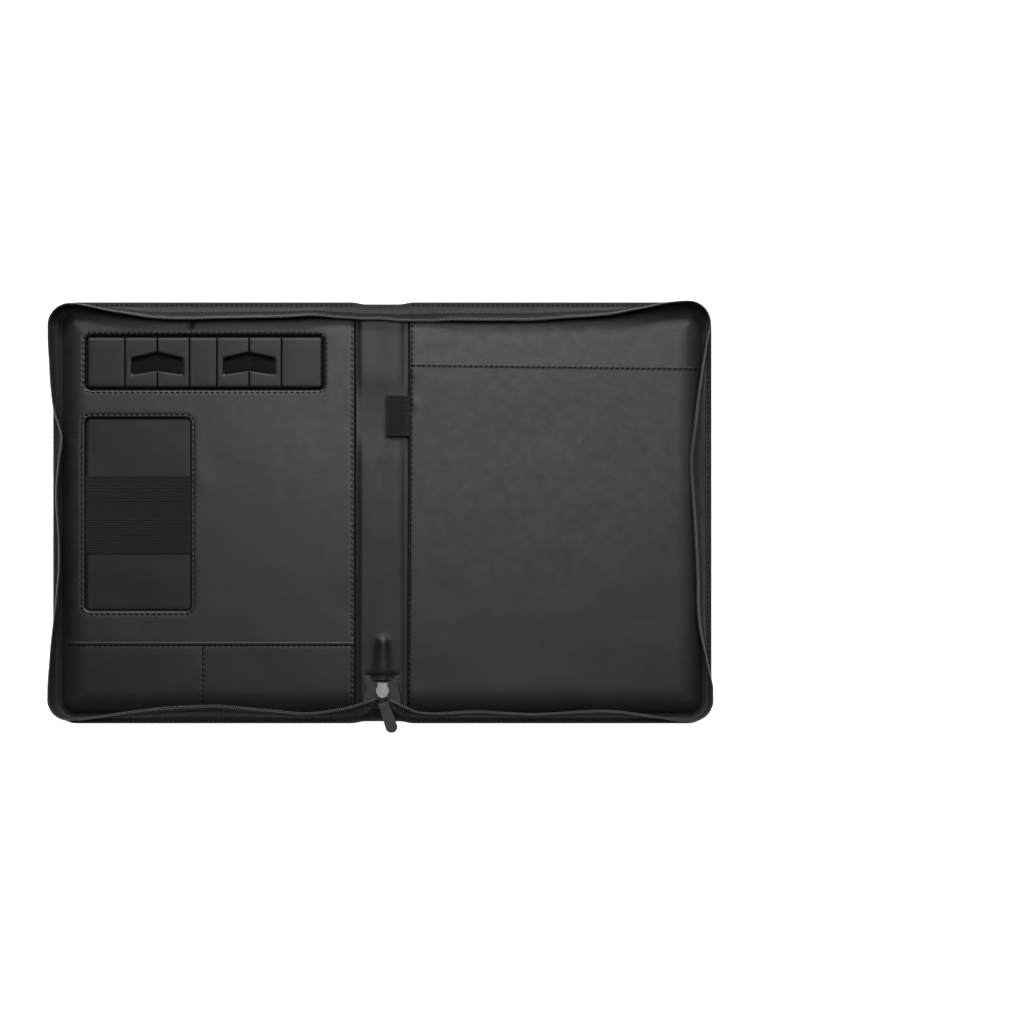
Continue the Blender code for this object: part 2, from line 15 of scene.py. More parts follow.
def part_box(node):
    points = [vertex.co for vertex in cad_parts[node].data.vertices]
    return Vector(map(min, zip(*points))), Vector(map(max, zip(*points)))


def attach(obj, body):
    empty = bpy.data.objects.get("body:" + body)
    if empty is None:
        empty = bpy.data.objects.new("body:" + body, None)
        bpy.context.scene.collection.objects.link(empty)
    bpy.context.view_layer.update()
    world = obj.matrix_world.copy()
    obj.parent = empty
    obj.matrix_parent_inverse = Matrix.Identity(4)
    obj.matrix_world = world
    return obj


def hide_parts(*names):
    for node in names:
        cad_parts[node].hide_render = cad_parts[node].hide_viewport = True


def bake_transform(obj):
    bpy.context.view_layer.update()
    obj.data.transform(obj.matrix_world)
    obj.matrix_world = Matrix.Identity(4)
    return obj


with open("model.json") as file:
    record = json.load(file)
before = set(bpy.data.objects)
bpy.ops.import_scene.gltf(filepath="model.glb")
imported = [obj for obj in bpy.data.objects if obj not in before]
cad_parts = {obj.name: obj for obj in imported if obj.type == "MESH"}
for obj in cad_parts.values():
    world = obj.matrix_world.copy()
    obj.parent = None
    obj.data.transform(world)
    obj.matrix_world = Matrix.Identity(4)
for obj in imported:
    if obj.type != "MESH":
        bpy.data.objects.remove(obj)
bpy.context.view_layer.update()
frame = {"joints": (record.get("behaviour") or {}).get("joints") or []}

MM = 0.001


def cad_box(node):
    """Lowest and highest corner of a CAD node, in millimetres."""
    low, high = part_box(node)
    return low / MM, high / MM


# ---------------------------------------------------------------- places read from the frame

COVER_HIGH = cad_box("outer_cover_right")[1]
PANEL_LOW, PANEL_HIGH = cad_box("inner_panel_right")
EDGE_X, EDGE_Y = COVER_HIGH.x, COVER_HIGH.y
PANEL_TOP = PANEL_HIGH.z
PANEL_BASE = PANEL_LOW.z
PANEL_UNDERSIDE = PANEL_BASE + 0.02
PANEL_START_X = PANEL_LOW.x
CREASE_X = frame["joints"][0]["pos_m"][0] / MM
CORNER_RADIUS = 20.0

# Zip wall: a run of cloth that stands on the rim
WALL_INSET = 5.0
WALL_LENGTH = 17.6
FOOT_X, FOOT_Y = EDGE_X - WALL_INSET, EDGE_Y - WALL_INSET
DROOP_NEAR_SPINE, DROOP_START_X, DROOP_END_X = 0.62, 36.0, 70.0
COIL_PITCH = 1.95
COIL_MIDDLE = 16.4

# How far the wall's top leans in from its foot: (place along the run, lean)
LEANS = {
    1: {
        "top": ((0, 9.4), (25, 12), (64, 11.6), (129, 11.6), (158, 9.4), (188, 7.3), (217, 2.0),
                (235, -2.1), (252, -4.2)),
        "fore": ((155, -2.3), (138, 1.4), (112, 5.9), (77, 10.4), (41, 13.8), (6, 12), (-40, 9.1),
                 (-79, 8.2), (-100, 6.2), (-127, -0.3), (-145, -4.4)),
        "bottom": ((251, -1.1), (222, 3.2), (193, 7.1), (153, 6), (134, 4.6), (109, 5.4), (75, 6.9),
                   (45, 4.6), (32, 5.5), (19, 9.9), (7, 15.4), (0, 16.4)),
    },
    -1: {
        "top": ((0, 9.4), (27, 9.8), (55, 7.8), (80, 9), (123, 9.9), (180, 10.4), (214, 6.2), (254, -1.9)),
        "fore": ((145, -5.5), (123, -3.9), (92, -1.3), (74, 3.8), (63, 6.6), (41, 3.8), (14, 2.1),
                 (-13, 3.8), (-34, 4.4), (-55, 3.8), (-92, -0.3), (-120, -3.4), (-145, -5.4)),
        "bottom": ((251, -0.2), (225, 3.8), (192, 8.6), (151, 11.3), (131, 11.1), (96, 8), (63, 5.3),
                   (42, 6.9), (22, 11), (7, 15.4), (0, 16.4)),
    },
}
WORD = {1: "right", -1: "left"}


# ---------------------------------------------------------------- curves and outlines


def through(keys, place):
    """Value at a place on the smooth curve through (place, value) keys in rising or falling order."""
    if keys[0][0] > keys[-1][0]:
        keys = keys[::-1]
    if place <= keys[0][0]:
        return keys[0][1]
    if place >= keys[-1][0]:
        return keys[-1][1]
    last = len(keys) - 1
    index = next(i for i in range(last) if place <= keys[i + 1][0])

    def slope(i):
        low, high = max(i - 1, 0), min(i + 1, last)
        return (keys[high][1] - keys[low][1]) / (keys[high][0] - keys[low][0])

    (x0, y0), (x1, y1) = keys[index], keys[index + 1]
    span = x1 - x0
    u = (place - x0) / span
    return ((2 * u ** 3 - 3 * u ** 2 + 1) * y0 + (u ** 3 - 2 * u ** 2 + u) * span * slope(index)
            + (3 * u ** 2 - 2 * u ** 3) * y1 + (u ** 3 - u ** 2) * span * slope(index + 1))


def smooth(low, high, value):
    """0 below low, 1 above high, eased between; works on numbers and arrays."""
    share = np.clip((value - low) / (high - low), 0, 1)
    return share * share * (3 - 2 * share)


def rounded_box(x_range, y_range, radii, step=2.0):
    """Anticlockwise rounded rectangle; its radii start at the low x, low y corner and go round."""
    (x0, x1), (y0, y1) = x_range, y_range
    corners = ((x0, y0, 1, 1), (x1, y0, -1, 1), (x1, y1, -1, -1), (x0, y1, 1, -1))
    points = []
    for turn, ((x, y, sx, sy), radius) in enumerate(zip(corners, radii)):
        if radius == 0:
            points.append((x, y))
            continue
        count = max(4, round(radius * math.pi / 2 / step))
        for index in range(count + 1):
            angle = math.pi + (turn + index / count) * math.pi / 2
            middle_x, middle_y = x + sx * radius, y + sy * radius
            points.append((middle_x + radius * math.cos(angle), middle_y + radius * math.sin(angle)))
    return spaced_loop(points, step)


def spaced_loop(points, step):
    """The same closed outline with extra points on its long stretches."""
    loop = []
    for (x0, y0), (x1, y1) in zip(points, points[1:] + points[:1]):
        count = max(1, round(math.hypot(x1 - x0, y1 - y0) / step))
        loop += [(x0 + (x1 - x0) * i / count, y0 + (y1 - y0) * i / count) for i in range(count)]
    return loop


def cover_outline(side, start_x, inset, high_y=None):
    """Outline of a piece of one cover, inset from its edge, round at the fore-edge corners."""
    low = -EDGE_Y + inset
    high = EDGE_Y - inset if high_y is None else high_y
    radius = CORNER_RADIUS - inset
    high_radius = radius if high_y is None else 0
    if side > 0:
        return rounded_box((start_x, EDGE_X - inset), (low, high), (0, radius, high_radius, 0))
    return rounded_box((inset - EDGE_X, -start_x), (low, high), (radius, 0, 0, high_radius))


def rim_of(outline, start_x):
    """The open stretch of a cover piece's outline that faces the zip wall."""
    count = len(outline)
    near = [abs(abs(x) - start_x) < 0.5 for x, _ in outline]
    begin = next(i for i in range(count) if near[i] and not near[(i + 1) % count])
    rim = []
    for step in range(count + 1):
        point = outline[(begin + step) % count]
        rim.append(point)
        if step > 0 and near[(begin + step) % count]:
            break
    return rim


def grid_of(x, y):
    """Rows of (x, y) from two arrays."""
    return np.stack((np.asarray(x, float), np.asarray(y, float)), 1)


def distance_to(points, loop, closed=True):
    """Distance of each point to an outline."""
    ends = np.array(loop, float)
    starts = ends[:-1] if not closed else ends
    stops = ends[1:] if not closed else np.roll(ends, -1, axis=0)
    along = stops - starts
    length = np.maximum((along ** 2).sum(1), 1e-12)
    best = np.full(len(points), 1e9)
    for start, step, squared in zip(starts, along, length):
        share = np.clip(((points - start) @ step) / squared, 0, 1)
        gap = points - start - share[:, None] * step
        best = np.minimum(best, np.hypot(gap[:, 0], gap[:, 1]))
    return best


def inside(points, loop):
    """True for each point within an outline."""
    found = np.zeros(len(points), bool)
    x, y = points[:, 0], points[:, 1]
    for (x0, y0), (x1, y1) in zip(loop, loop[1:] + loop[:1]):
        crosses = (y0 > y) != (y1 > y)
        if y1 != y0:
            found ^= crosses & (x < (x1 - x0) * (y - y0) / (y1 - y0) + x0)
    return found


def offset_rows(loop, distances):
    """Rows of points beside an outline, on both sides of it."""
    corners = np.array(loop)
    tangent = np.roll(corners, -1, axis=0) - np.roll(corners, 1, axis=0)
    tangent /= np.maximum(np.hypot(tangent[:, 0], tangent[:, 1]), 1e-9)[:, None]
    normal = np.stack((-tangent[:, 1], tangent[:, 0]), axis=1)
    return [corners + normal * distance for distance in distances]


# ---------------------------------------------------------------- mesh pieces


def mesh_piece(name, points, faces, surface, smooth_angle, cloth=None):
    """A mesh object from points in millimetres; cloth holds each point's place on its cloth."""
    mesh = bpy.data.meshes.new(name)
    mesh.from_pydata([tuple(c * MM for c in point) for point in points], [], faces)
    mesh.materials.append(surface)
    if cloth is not None:
        layer = mesh.attributes.new("cloth", "FLOAT_VECTOR", "POINT")
        flat = [c * MM for s, t in cloth for c in (s, t, 0.0)]
        layer.data.foreach_set("vector", flat)
    mesh.shade_smooth()
    mesh.set_sharp_from_angle(angle=math.radians(smooth_angle))
    made = bpy.data.objects.new(name, mesh)
    bpy.context.scene.collection.objects.link(made)
    return made


def fit_piece(made, body=None, replaces=()):
    """Rides a piece on its body, or leaves it fixed where it is made, and hides the frame parts that it
    replaces.
    """
    if body is not None:
        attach(made, body)
    else:
        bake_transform(made)
    if replaces:
        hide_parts(*replaces)
    return made


def flat_mesh(outer, holes, spacing, rows):
    """Points and triangles of a flat sheet inside an outline and outside its holes."""
    loops = [outer] + list(holes)
    points, edges = [], []
    for loop in loops:
        base = len(points)
        points += [tuple(p) for p in loop]
        edges += [(base + i, base + (i + 1) % len(loop)) for i in range(len(loop))]
    corners = np.array(outer)
    (x0, y0), (x1, y1) = corners.min(0), corners.max(0)
    columns = np.arange(x0 + spacing / 2, x1, spacing)
    lines = np.arange(y0 + spacing / 2, y1, spacing)
    grid = np.array([(x + (spacing / 2 if i % 2 else 0), y) for i, y in enumerate(lines) for x in columns])

    def kept(candidates, clearance):
        good = inside(candidates, outer)
        for hole in holes:
            good &= ~inside(candidates, hole)
        for loop in loops:
            good &= distance_to(candidates, loop) > clearance
        return candidates[good]

    extra = kept(np.concatenate(rows), 0.12)
    grid = kept(grid, spacing * 0.5)
    points += [tuple(p) for p in extra] + [tuple(p) for p in grid]
    result = geometry.delaunay_2d_cdt([Vector(p) for p in points], edges, [], 1, 1e-4)
    places = np.array([tuple(p) for p in result[0]])
    triangles = np.array([tuple(t) for t in result[2]])
    middles = places[triangles].mean(1)
    good = inside(middles, outer)
    for hole in holes:
        good &= ~inside(middles, hole)
    return places, triangles[good]


def boundary_edges(triangles):
    """Directed edges that only one triangle uses."""
    seen = {}
    for a, b, c in triangles:
        for edge in ((a, b), (b, c), (c, a)):
            seen[edge] = True
    return [edge for edge in seen if (edge[1], edge[0]) not in seen]


def closed_sheet(name, outer, holes, heights, surface, spacing, rims, extra_rows=(), smooth_angle=50):
    """A closed flat piece; heights(x, y) gives its upper and lower surface."""
    rows = []
    for loop in [outer] + list(holes):
        rows += offset_rows(loop, rims) + offset_rows(loop, [-rim for rim in rims])
    rows += [np.array(row, float) for row in extra_rows]
    places, triangles = flat_mesh(outer, holes, spacing, rows)
    a, b, c = (places[triangles[:, i]] for i in range(3))
    turned = np.cross(b - a, c - a) < 0
    triangles[turned] = triangles[turned][:, ::-1]
    levels = np.broadcast_arrays(*heights(places[:, 0], places[:, 1]))
    count = len(places)
    points = [(x, y, z) for level in levels for (x, y), z in zip(places, level)]
    upper = [tuple(int(i) for i in corners) for corners in triangles]
    lower = [tuple(i + count for i in reversed(face)) for face in upper]
    walls = [(b, a, a + count, b + count) for a, b in boundary_edges(upper)]
    return mesh_piece(name, points, upper + lower + walls, surface, smooth_angle, [p[:2] for p in points])


def swept(name, rings, surface, cloth=None, smooth_angle=50):
    """A closed piece through a row of equal rings of points."""
    size = len(rings[0])
    points = [point for ring in rings for point in ring]
    faces = []
    for base in range(0, len(points) - size, size):
        for i in range(size):
            j = (i + 1) % size
            faces.append((base + i, base + j, base + size + j, base + size + i))
    faces.append(tuple(reversed(range(size))))
    faces.append(tuple(range(len(points) - size, len(points))))
    return mesh_piece(name, points, faces, surface, smooth_angle, cloth)


def ripple(x, y, size, height, seed):
    """Slow random undulation of a sheet, in millimetres."""
    return np.array([height * noise.noise(Vector((a / size, b / size, seed))) for a, b in zip(x, y)])


def rolled(depth, width, drop):
    """How far a rounded edge falls below the sheet at a depth in from its outline."""
    share = np.clip(1 - depth / width, 0, 1)
    return drop * (1 - np.sqrt(np.clip(1 - share ** 2, 0, 1)))


def channel(gap, width, depth):
    """A shallow pressed groove at a distance from its middle line."""
    return depth * np.exp(-(gap / width) ** 2)


# ---------------------------------------------------------------- stitches

UP = Vector((0, 0, 1))
STITCH_LIFT = 0.14
STITCH_SIDES = 6
# Rings along a stitch: share of its length, share of its radius, and rise in radii
STITCH_RINGS = ((-0.5, 0.4, -0.5), (-0.34, 0.85, -0.08), (0.0, 1.0, 0.0), (0.34, 0.85, -0.08),
                (0.5, 0.4, -0.5))


def path_stations(path, pitch, start=0.0):
    """(point, direction) every pitch along an open row of points."""
    found = []
    travelled, target = 0.0, start
    for a, b in zip(path, path[1:]):
        step = b - a
        length = step.length
        while length > 0 and target <= travelled + length:
            found.append((a + step * ((target - travelled) / length), step.normalized()))
            target += pitch
        travelled += length
    return found


def stitch_shape(points, faces, centre, along, length, radius, slant):
    """Adds one stitch: a short thread with tucked ends, a little slanted to its row."""
    across = UP.cross(along).normalized()
    along = (along + across * slant).normalized()
    across = UP.cross(along).normalized()
    base = len(points)
    last = base + (len(STITCH_RINGS) - 1) * STITCH_SIDES
    for place, share, rise in STITCH_RINGS:
        middle = centre + along * (place * length) + UP * (rise * radius)
        for turn in range(STITCH_SIDES):
            angle = turn * 2 * math.pi / STITCH_SIDES
            spread = across * math.cos(angle) + UP * math.sin(angle)
            points.append(middle + spread * (share * radius))
    for here in range(base, last, STITCH_SIDES):
        after = here + STITCH_SIDES
        for turn in range(STITCH_SIDES):
            step = (turn + 1) % STITCH_SIDES
            faces.append((here + turn, here + step, after + step, after + turn))
    faces.append(tuple(base + turn for turn in reversed(range(STITCH_SIDES))))
    faces.append(tuple(last + turn for turn in range(STITCH_SIDES)))


def stitch_rows(name, rows, surface, pitch, length=3.3, radius=0.5, slant=0.12):
    """One piece holding the stitches of several rows of points."""
    points, faces = [], []
    for row in rows:
        for centre, along in path_stations(row, pitch, pitch / 2):
            stitch_shape(points, faces, centre, along, length, radius, slant)
    return mesh_piece(name, points, faces, surface, 60)


def on_sheet(path, top):
    """A row of points just above a sheet; top(x, y) gives its upper surface."""
    x, y = np.array(path, float).T
    return [Vector(point) for point in zip(x, y, top(x, y) + STITCH_LIFT)]


# ---------------------------------------------------------------- materials


class Surface:
    """One procedural material, put together node by node."""

    def __init__(self, name, colour, roughness, sockets=None):
        self.material = bpy.data.materials.new(name)
        self.material.use_nodes = True
        self.tree = self.material.node_tree
        self.shader = self.tree.nodes["Principled BSDF"]
        self.give(self.shader, {"Base Color": (*colour, 1), "Roughness": roughness, **(sockets or {})})
        self.place = self.node("TexCoord").outputs["Object"]
        self.normal = None

    def give(self, node, values):
        """Sets or links a node's inputs."""
        for socket, value in values.items():
            if isinstance(value, bpy.types.NodeSocket):
                self.tree.links.new(value, node.inputs[socket])
            else:
                node.inputs[socket].default_value = value

    def node(self, kind, values=None, **settings):
        made = self.tree.nodes.new("ShaderNode" + kind)
        for key, value in settings.items():
            setattr(made, key, value)
        self.give(made, values or {})
        return made

    def maths(self, operation, a, b=0.0):
        return self.node("Math", {0: a, 1: b}, operation=operation).outputs[0]

    def noise(self, size, detail=3.0, stretch=None):
        """Cloudy value with features of a size in millimetres, longer along the stretched axes."""
        place = self.place
        if stretch is not None:
            place = self.node("Mapping", {"Vector": place, "Scale": stretch}).outputs["Vector"]
        values = {"Vector": place, "Scale": 1 / (size * MM), "Detail": detail}
        return self.node("TexNoise", values).outputs["Fac"]

    def cells(self, size):
        """Distance from the borders of cells of a size in millimetres."""
        values = {"Vector": self.place, "Scale": 1 / (size * MM)}
        return self.node("TexVoronoi", values, feature="DISTANCE_TO_EDGE").outputs["Distance"]

    def spread(self, value, low, high, new_low, new_high):
        values = {"Value": value, "From Min": low, "From Max": high, "To Min": new_low, "To Max": new_high}
        return self.node("MapRange", values).outputs["Result"]

    def tint(self, share, first, second):
        """Colours the surface between two colours."""
        mix = self.node("Mix", {0: share, 6: (*first, 1), 7: (*second, 1)}, data_type="RGBA")
        self.give(self.shader, {"Base Color": mix.outputs[2]})

    def polish(self, share, smooth_end, rough_end):
        """Varies the roughness."""
        self.give(self.shader, {"Roughness": self.spread(share, 0.3, 0.7, smooth_end, rough_end)})

    def bump(self, height, depth, strength):
        """Adds relief of a depth in millimetres to the surface."""
        values = {"Height": height, "Distance": depth * MM, "Strength": strength}
        if self.normal is not None:
            values["Normal"] = self.normal
        self.normal = self.node("Bump", values).outputs["Normal"]
        self.give(self.shader, {"Normal": self.normal})

    def cloth_axes(self):
        """Places across and along the cloth, in metres."""
        place = self.node("Attribute", attribute_name="cloth").outputs["Vector"]
        split = self.node("SeparateXYZ", {"Vector": place})
        return split.outputs["X"], split.outputs["Y"]

    def wave(self, place, pitch):
        """Sine of a place in metres, one wave every pitch in millimetres."""
        return self.maths("SINE", self.maths("MULTIPLY", place, 2 * math.pi / (pitch * MM)))


def leatherette(name, shade, roughness, grain, relief, specular=0.6):
    """Pebbled imitation leather with cloudy tone, rubbed high spots and faint pressed creases."""
    made = Surface(name, shade, roughness, {"Specular IOR Level": specular})
    cloud = made.noise(38, 4)
    speck = made.noise(1.1, 2)
    share = made.maths("ADD", made.maths("MULTIPLY", cloud, 0.75), made.maths("MULTIPLY", speck, 0.25))
    dark = tuple(c * 0.88 for c in shade)
    light = tuple(c * 1.14 for c in shade)
    made.tint(made.spread(share, 0.32, 0.68, 0, 1), dark, light)
    made.polish(made.noise(9, 3), roughness - 0.03, roughness + 0.04)
    made.bump(made.noise(16, 2, (0.35, 1, 1)), 0.25, 0.4)
    made.bump(made.spread(made.cells(grain), 0, 0.22, 0, 1), relief, 0.8)
    made.bump(made.noise(grain * 0.35, 3), relief * 0.5, 0.6)
    return made.material


def woven(name, shade, pitch, herringbone=0.0, depth=0.12):
    """Woven cloth: crossing threads, or a herringbone, with fuzzy tone along each thread."""
    made = Surface(name, shade, 0.82, {"Specular IOR Level": 0.12, "Sheen Weight": 0.04})
    along, across = made.cloth_axes()
    if herringbone:
        turned = made.maths("PINGPONG", across, herringbone * MM)
        threads = made.wave(made.maths("ADD", along, turned), pitch)
    else:
        threads = made.maths("MULTIPLY", made.wave(along, pitch), made.wave(across, pitch))
    fuzz = made.maths("MULTIPLY", made.noise(7, 4), 0.5)
    share = made.maths("ADD", made.spread(threads, -1, 1, 0, 0.5), fuzz)
    made.tint(share, tuple(c * 0.55 for c in shade), tuple(c * 1.5 for c in shade))
    made.polish(made.noise(3, 2), 0.74, 0.9)
    made.bump(threads, depth, 0.8)
    made.bump(made.noise(0.25, 2), 0.05, 0.5)
    return made.material


def speckled_cloth():
    """Brushed backing with scattered pale fibres."""
    sheen = {"Specular IOR Level": 0.1, "Sheen Weight": 0.08}
    made = Surface("backing cloth", (0.003, 0.003, 0.0035), 0.95, sheen)
    fibres = made.spread(made.noise(0.8, 3), 0.5, 0.72, 0, 1)
    made.tint(made.maths("ADD", fibres, made.maths("MULTIPLY", made.noise(12, 2), 0.2)),
              (0.0016, 0.0016, 0.0019), (0.0095, 0.0097, 0.012))
    made.polish(made.noise(5, 2), 0.9, 0.98)
    made.bump(made.noise(0.5, 3), 0.2, 0.8)
    return made.material


def nylon():
    """Moulded zip filament, slightly worn along its crowns."""
    made = Surface("zip nylon", (0.15, 0.151, 0.155), 0.34, {"Specular IOR Level": 0.5})
    made.tint(made.noise(14, 4), (0.1, 0.101, 0.104), (0.21, 0.212, 0.217))
    made.polish(made.noise(1.5, 2), 0.3, 0.46)
    made.bump(made.noise(0.5, 2), 0.03, 0.5)
    return made.material


def thread(name, shade, specular):
    """Twisted sewing thread."""
    made = Surface(name, shade, 0.6, {"Specular IOR Level": specular})
    twist = made.noise(0.5, 2, (1, 1, 3))
    made.tint(twist, tuple(c * 0.6 for c in shade), tuple(c * 1.6 for c in shade))
    made.polish(twist, 0.5, 0.7)
    made.bump(twist, 0.08, 0.7)
    return made.material


def elastic():
    """Knitted elastic between the ribs of its own shape."""
    sheen = {"Specular IOR Level": 0.16, "Sheen Weight": 0.12}
    made = Surface("ribbed elastic", (0.009, 0.009, 0.0094), 0.86, sheen)
    along, across = made.cloth_axes()
    knit = made.maths("MULTIPLY", made.wave(along, 0.55), made.wave(across, 0.4))
    share = made.maths("ADD", made.spread(knit, -1, 1, 0, 0.5), made.maths("MULTIPLY", made.noise(5, 3), 0.5))
    made.tint(share, (0.005, 0.005, 0.0053), (0.014, 0.014, 0.0147))
    made.polish(made.noise(2, 2), 0.8, 0.92)
    made.bump(knit, 0.1, 0.8)
    return made.material


def cast_metal(name, shade, roughness, metallic=0.85):
    """Tumbled die-cast metal with a fine satin grain."""
    made = Surface(name, shade, roughness, {"Metallic": metallic})
    made.tint(made.noise(2.5, 4), tuple(c * 0.82 for c in shade), tuple(min(1, c * 1.15) for c in shade))
    made.polish(made.noise(0.7, 3), roughness - 0.08, roughness + 0.1)
    made.bump(made.noise(0.3, 3), 0.02, 0.6)
    return made.material


def rubber():
    """Matt puller coating with a fine linen print."""
    made = Surface("puller coating", (0.056, 0.0565, 0.057), 0.62, {"Specular IOR Level": 0.4})
    along, across = made.cloth_axes()
    print_lines = made.maths("MULTIPLY", made.wave(along, 0.7), made.wave(across, 0.7))
    made.tint(made.noise(4, 4), (0.048, 0.0485, 0.049), (0.067, 0.0675, 0.068))
    made.polish(made.noise(2, 2), 0.56, 0.7)
    made.bump(print_lines, 0.05, 0.6)
    made.bump(made.noise(0.4, 2), 0.03, 0.5)
    return made.material


def cardboard():
    """Black-dyed pressed board with long fibres."""
    made = Surface("dyed pressed board", (0.012, 0.012, 0.012), 0.92, {"Specular IOR Level": 0.2})
    made.tint(made.noise(6, 5, (1, 0.2, 1)), (0.008, 0.008, 0.008), (0.018, 0.0175, 0.017))
    made.polish(made.noise(3, 2), 0.86, 0.97)
    made.bump(made.noise(1, 4, (1, 0.3, 1)), 0.1, 0.7)
    return made.material


def pale_floor():
    """Seamless studio paper."""
    glow = {"Emission Color": (1, 1, 1, 1), "Emission Strength": 0.9}
    made = Surface("studio paper", (0.93, 0.93, 0.93), 0.9, {"Specular IOR Level": 0.1, **glow})
    made.tint(made.noise(300, 2), (0.925, 0.925, 0.925), (0.94, 0.94, 0.94))
    made.polish(made.noise(40, 2), 0.88, 0.94)
    made.bump(made.noise(2, 2), 0.02, 0.2)
    return made.material


def make_surfaces():
    """Every material by its short name."""
    return {
        "outer": leatherette("outer leatherette", (0.008, 0.008, 0.0083), 0.55, 1.3, 0.09),
        "panel": leatherette("lining leatherette", (0.0048, 0.0049, 0.0051), 0.4, 0.65, 0.026, 0.44),
        "pocket": leatherette("pocket leatherette", (0.0046, 0.0047, 0.0049), 0.41, 0.65, 0.026, 0.42),
        "stand": leatherette("stand leatherette", (0.0042, 0.0043, 0.0045), 0.42, 0.6, 0.026, 0.31),
        "recess": leatherette("recess leatherette", (0.0038, 0.0039, 0.0041), 0.44, 0.65, 0.024, 0.3),
        "spine": leatherette("spine leatherette", (0.0038, 0.0039, 0.004), 0.41, 0.65, 0.026, 0.36),
        "flap": leatherette("flap leatherette", (0.0035, 0.0036, 0.0037), 0.48, 0.65, 0.04, 0.32),
        "gusset": woven("gusset cloth", (0.03, 0.0296, 0.0288), 0.8),
        "tape": woven("zip tape", (0.017, 0.0168, 0.0165), 0.7, 1.6, 0.16),
        "backing": speckled_cloth(),
        "coil": nylon(),
        "stitch": thread("dark thread", (0.0008, 0.0008, 0.0009), 0.03),
        "cord": thread("zip core cord", (0.0015, 0.0015, 0.0015), 0.05),
        "elastic": elastic(),
        "cap": cast_metal("satin slider cap", (0.185, 0.185, 0.189), 0.5, 0.35),
        "metal": cast_metal("dark slider metal", (0.05, 0.05, 0.054), 0.45),
        "puller": rubber(),
        "board": cardboard(),
    }


# ---------------------------------------------------------------- covers and boards


SPINE_DRAW = 1.7
CREASE_ROW_SPACING = 6.0
SKIN_FACE, LIP_TOP = 1.2, 3.85


def spine_dip(x, y):
    """How far the skin's ends draw in across the spine."""
    return SPINE_DRAW * (1 - smooth(14, 26, np.abs(x))) * smooth(150, 177, np.abs(y)) * np.sign(y)


def crease_rows(side):
    """Rows of mesh points along a crease, where a skin bends round it."""
    places = np.arange(8 - EDGE_Y, EDGE_Y - 7, CREASE_ROW_SPACING)
    return [[(side * (CREASE_X + gap), y) for y in places] for gap in range(-4, 5)]


def add_skin(side, surfaces):
    """Outer leatherette of one cover and half the spine, turned up round the board's edge."""
    outline = cover_outline(side, 0, 0)
    rim = rim_of(outline, 0)

    def heights(x, y):
        depth = distance_to(grid_of(x, y), rim, closed=False)
        lip = LIP_TOP - 0.55 * np.clip(1 - depth / 0.5, 0, 1) ** 2
        upper = np.where(depth < 1.0, lip, SKIN_FACE)
        lower = 1.1 * np.clip(1 - depth / 1.3, 0, 1) ** 2
        return upper, lower

    made = closed_sheet("outer_skin_" + WORD[side], outline, (), heights, surfaces["outer"], 9.0,
                        (0.25, 0.5, 0.8, 0.96, 1.04, 1.3), crease_rows(side))
    for vertex in made.data.vertices:
        x, y = vertex.co.x / MM, vertex.co.y / MM
        vertex.co.y -= float(spine_dip(x, y)) * MM
    nodes = ("outer_cover_right", "outer_spine") if side > 0 else ("outer_cover_left",)
    fit_piece(made, replaces=nodes)


def dress_boards(surfaces):
    """The stiff boards inside keep their own shape and get pressed board."""
    for node in ("cover_board_right", "cover_board_left", "spine_stiffener"):
        board = bpy.data.objects[node]
        board.data.materials.clear()
        board.data.materials.append(surfaces["board"])


# ---------------------------------------------------------------- padded panels and pockets

SEAM_PITCH = 4.8
CROWN = 1.2
ROLL_WIDTH, ROLL_DROP = 21.0, 3.5
ROLL_POWER = 2.1
SPINE_ROLL_WIDTH, SPINE_ROLL_DROP = 3.2, 2.5
HOLE_ROLL_WIDTH, HOLE_ROLL_DROP = 2.4, 1.8
PUCKER_WIDTH, PANEL_PUCKER, POCKET_PUCKER = 1.1, 0.32, 0.22
SEAM_YS = np.linspace(164, -164, 60)
RIGHT_SEAM = ((-165, 22.9), (0, 24.2), (165, 25.1))
LEFT_SEAM_X = -25.2
DRIFT_LIMIT_X = 24.0
POCKET_INSET = 11.2
POCKET_MOUTH_Y = 124.5


def drift(y):
    """How far the right panel's spine edge strays towards the spine, more at the bottom."""
    return -1.2 * smooth(120, -170, y)


def strayed(outline):
    """A right-hand outline whose spine edge follows the drift."""
    return [(x + drift(y), y) if x < DRIFT_LIMIT_X else (x, y) for x, y in outline]


def seam_rows(*paths):
    """Rows of mesh points that let a sheet pucker along lines of stitches."""
    rows = []
    for path in paths:
        stations = path_stations([Vector((x, y, 0)) for x, y in path], SEAM_PITCH / 4)
        for gap in (0, 0.8, -0.8, 1.7, -1.7):
            rows.append([(p.x - d.y * gap, p.y + d.x * gap) for p, d in stations])
    return rows


def pucker(points, path, depth):
    """How far a sheet is pulled down beside a line of stitches, deepest under each stitch."""
    gap = distance_to(points, path, closed=False)
    swing = 0.65 + 0.35 * np.cos(2 * math.pi * (points[:, 0] + points[:, 1]) / SEAM_PITCH)
    return channel(gap, PUCKER_WIDTH, depth) * swing


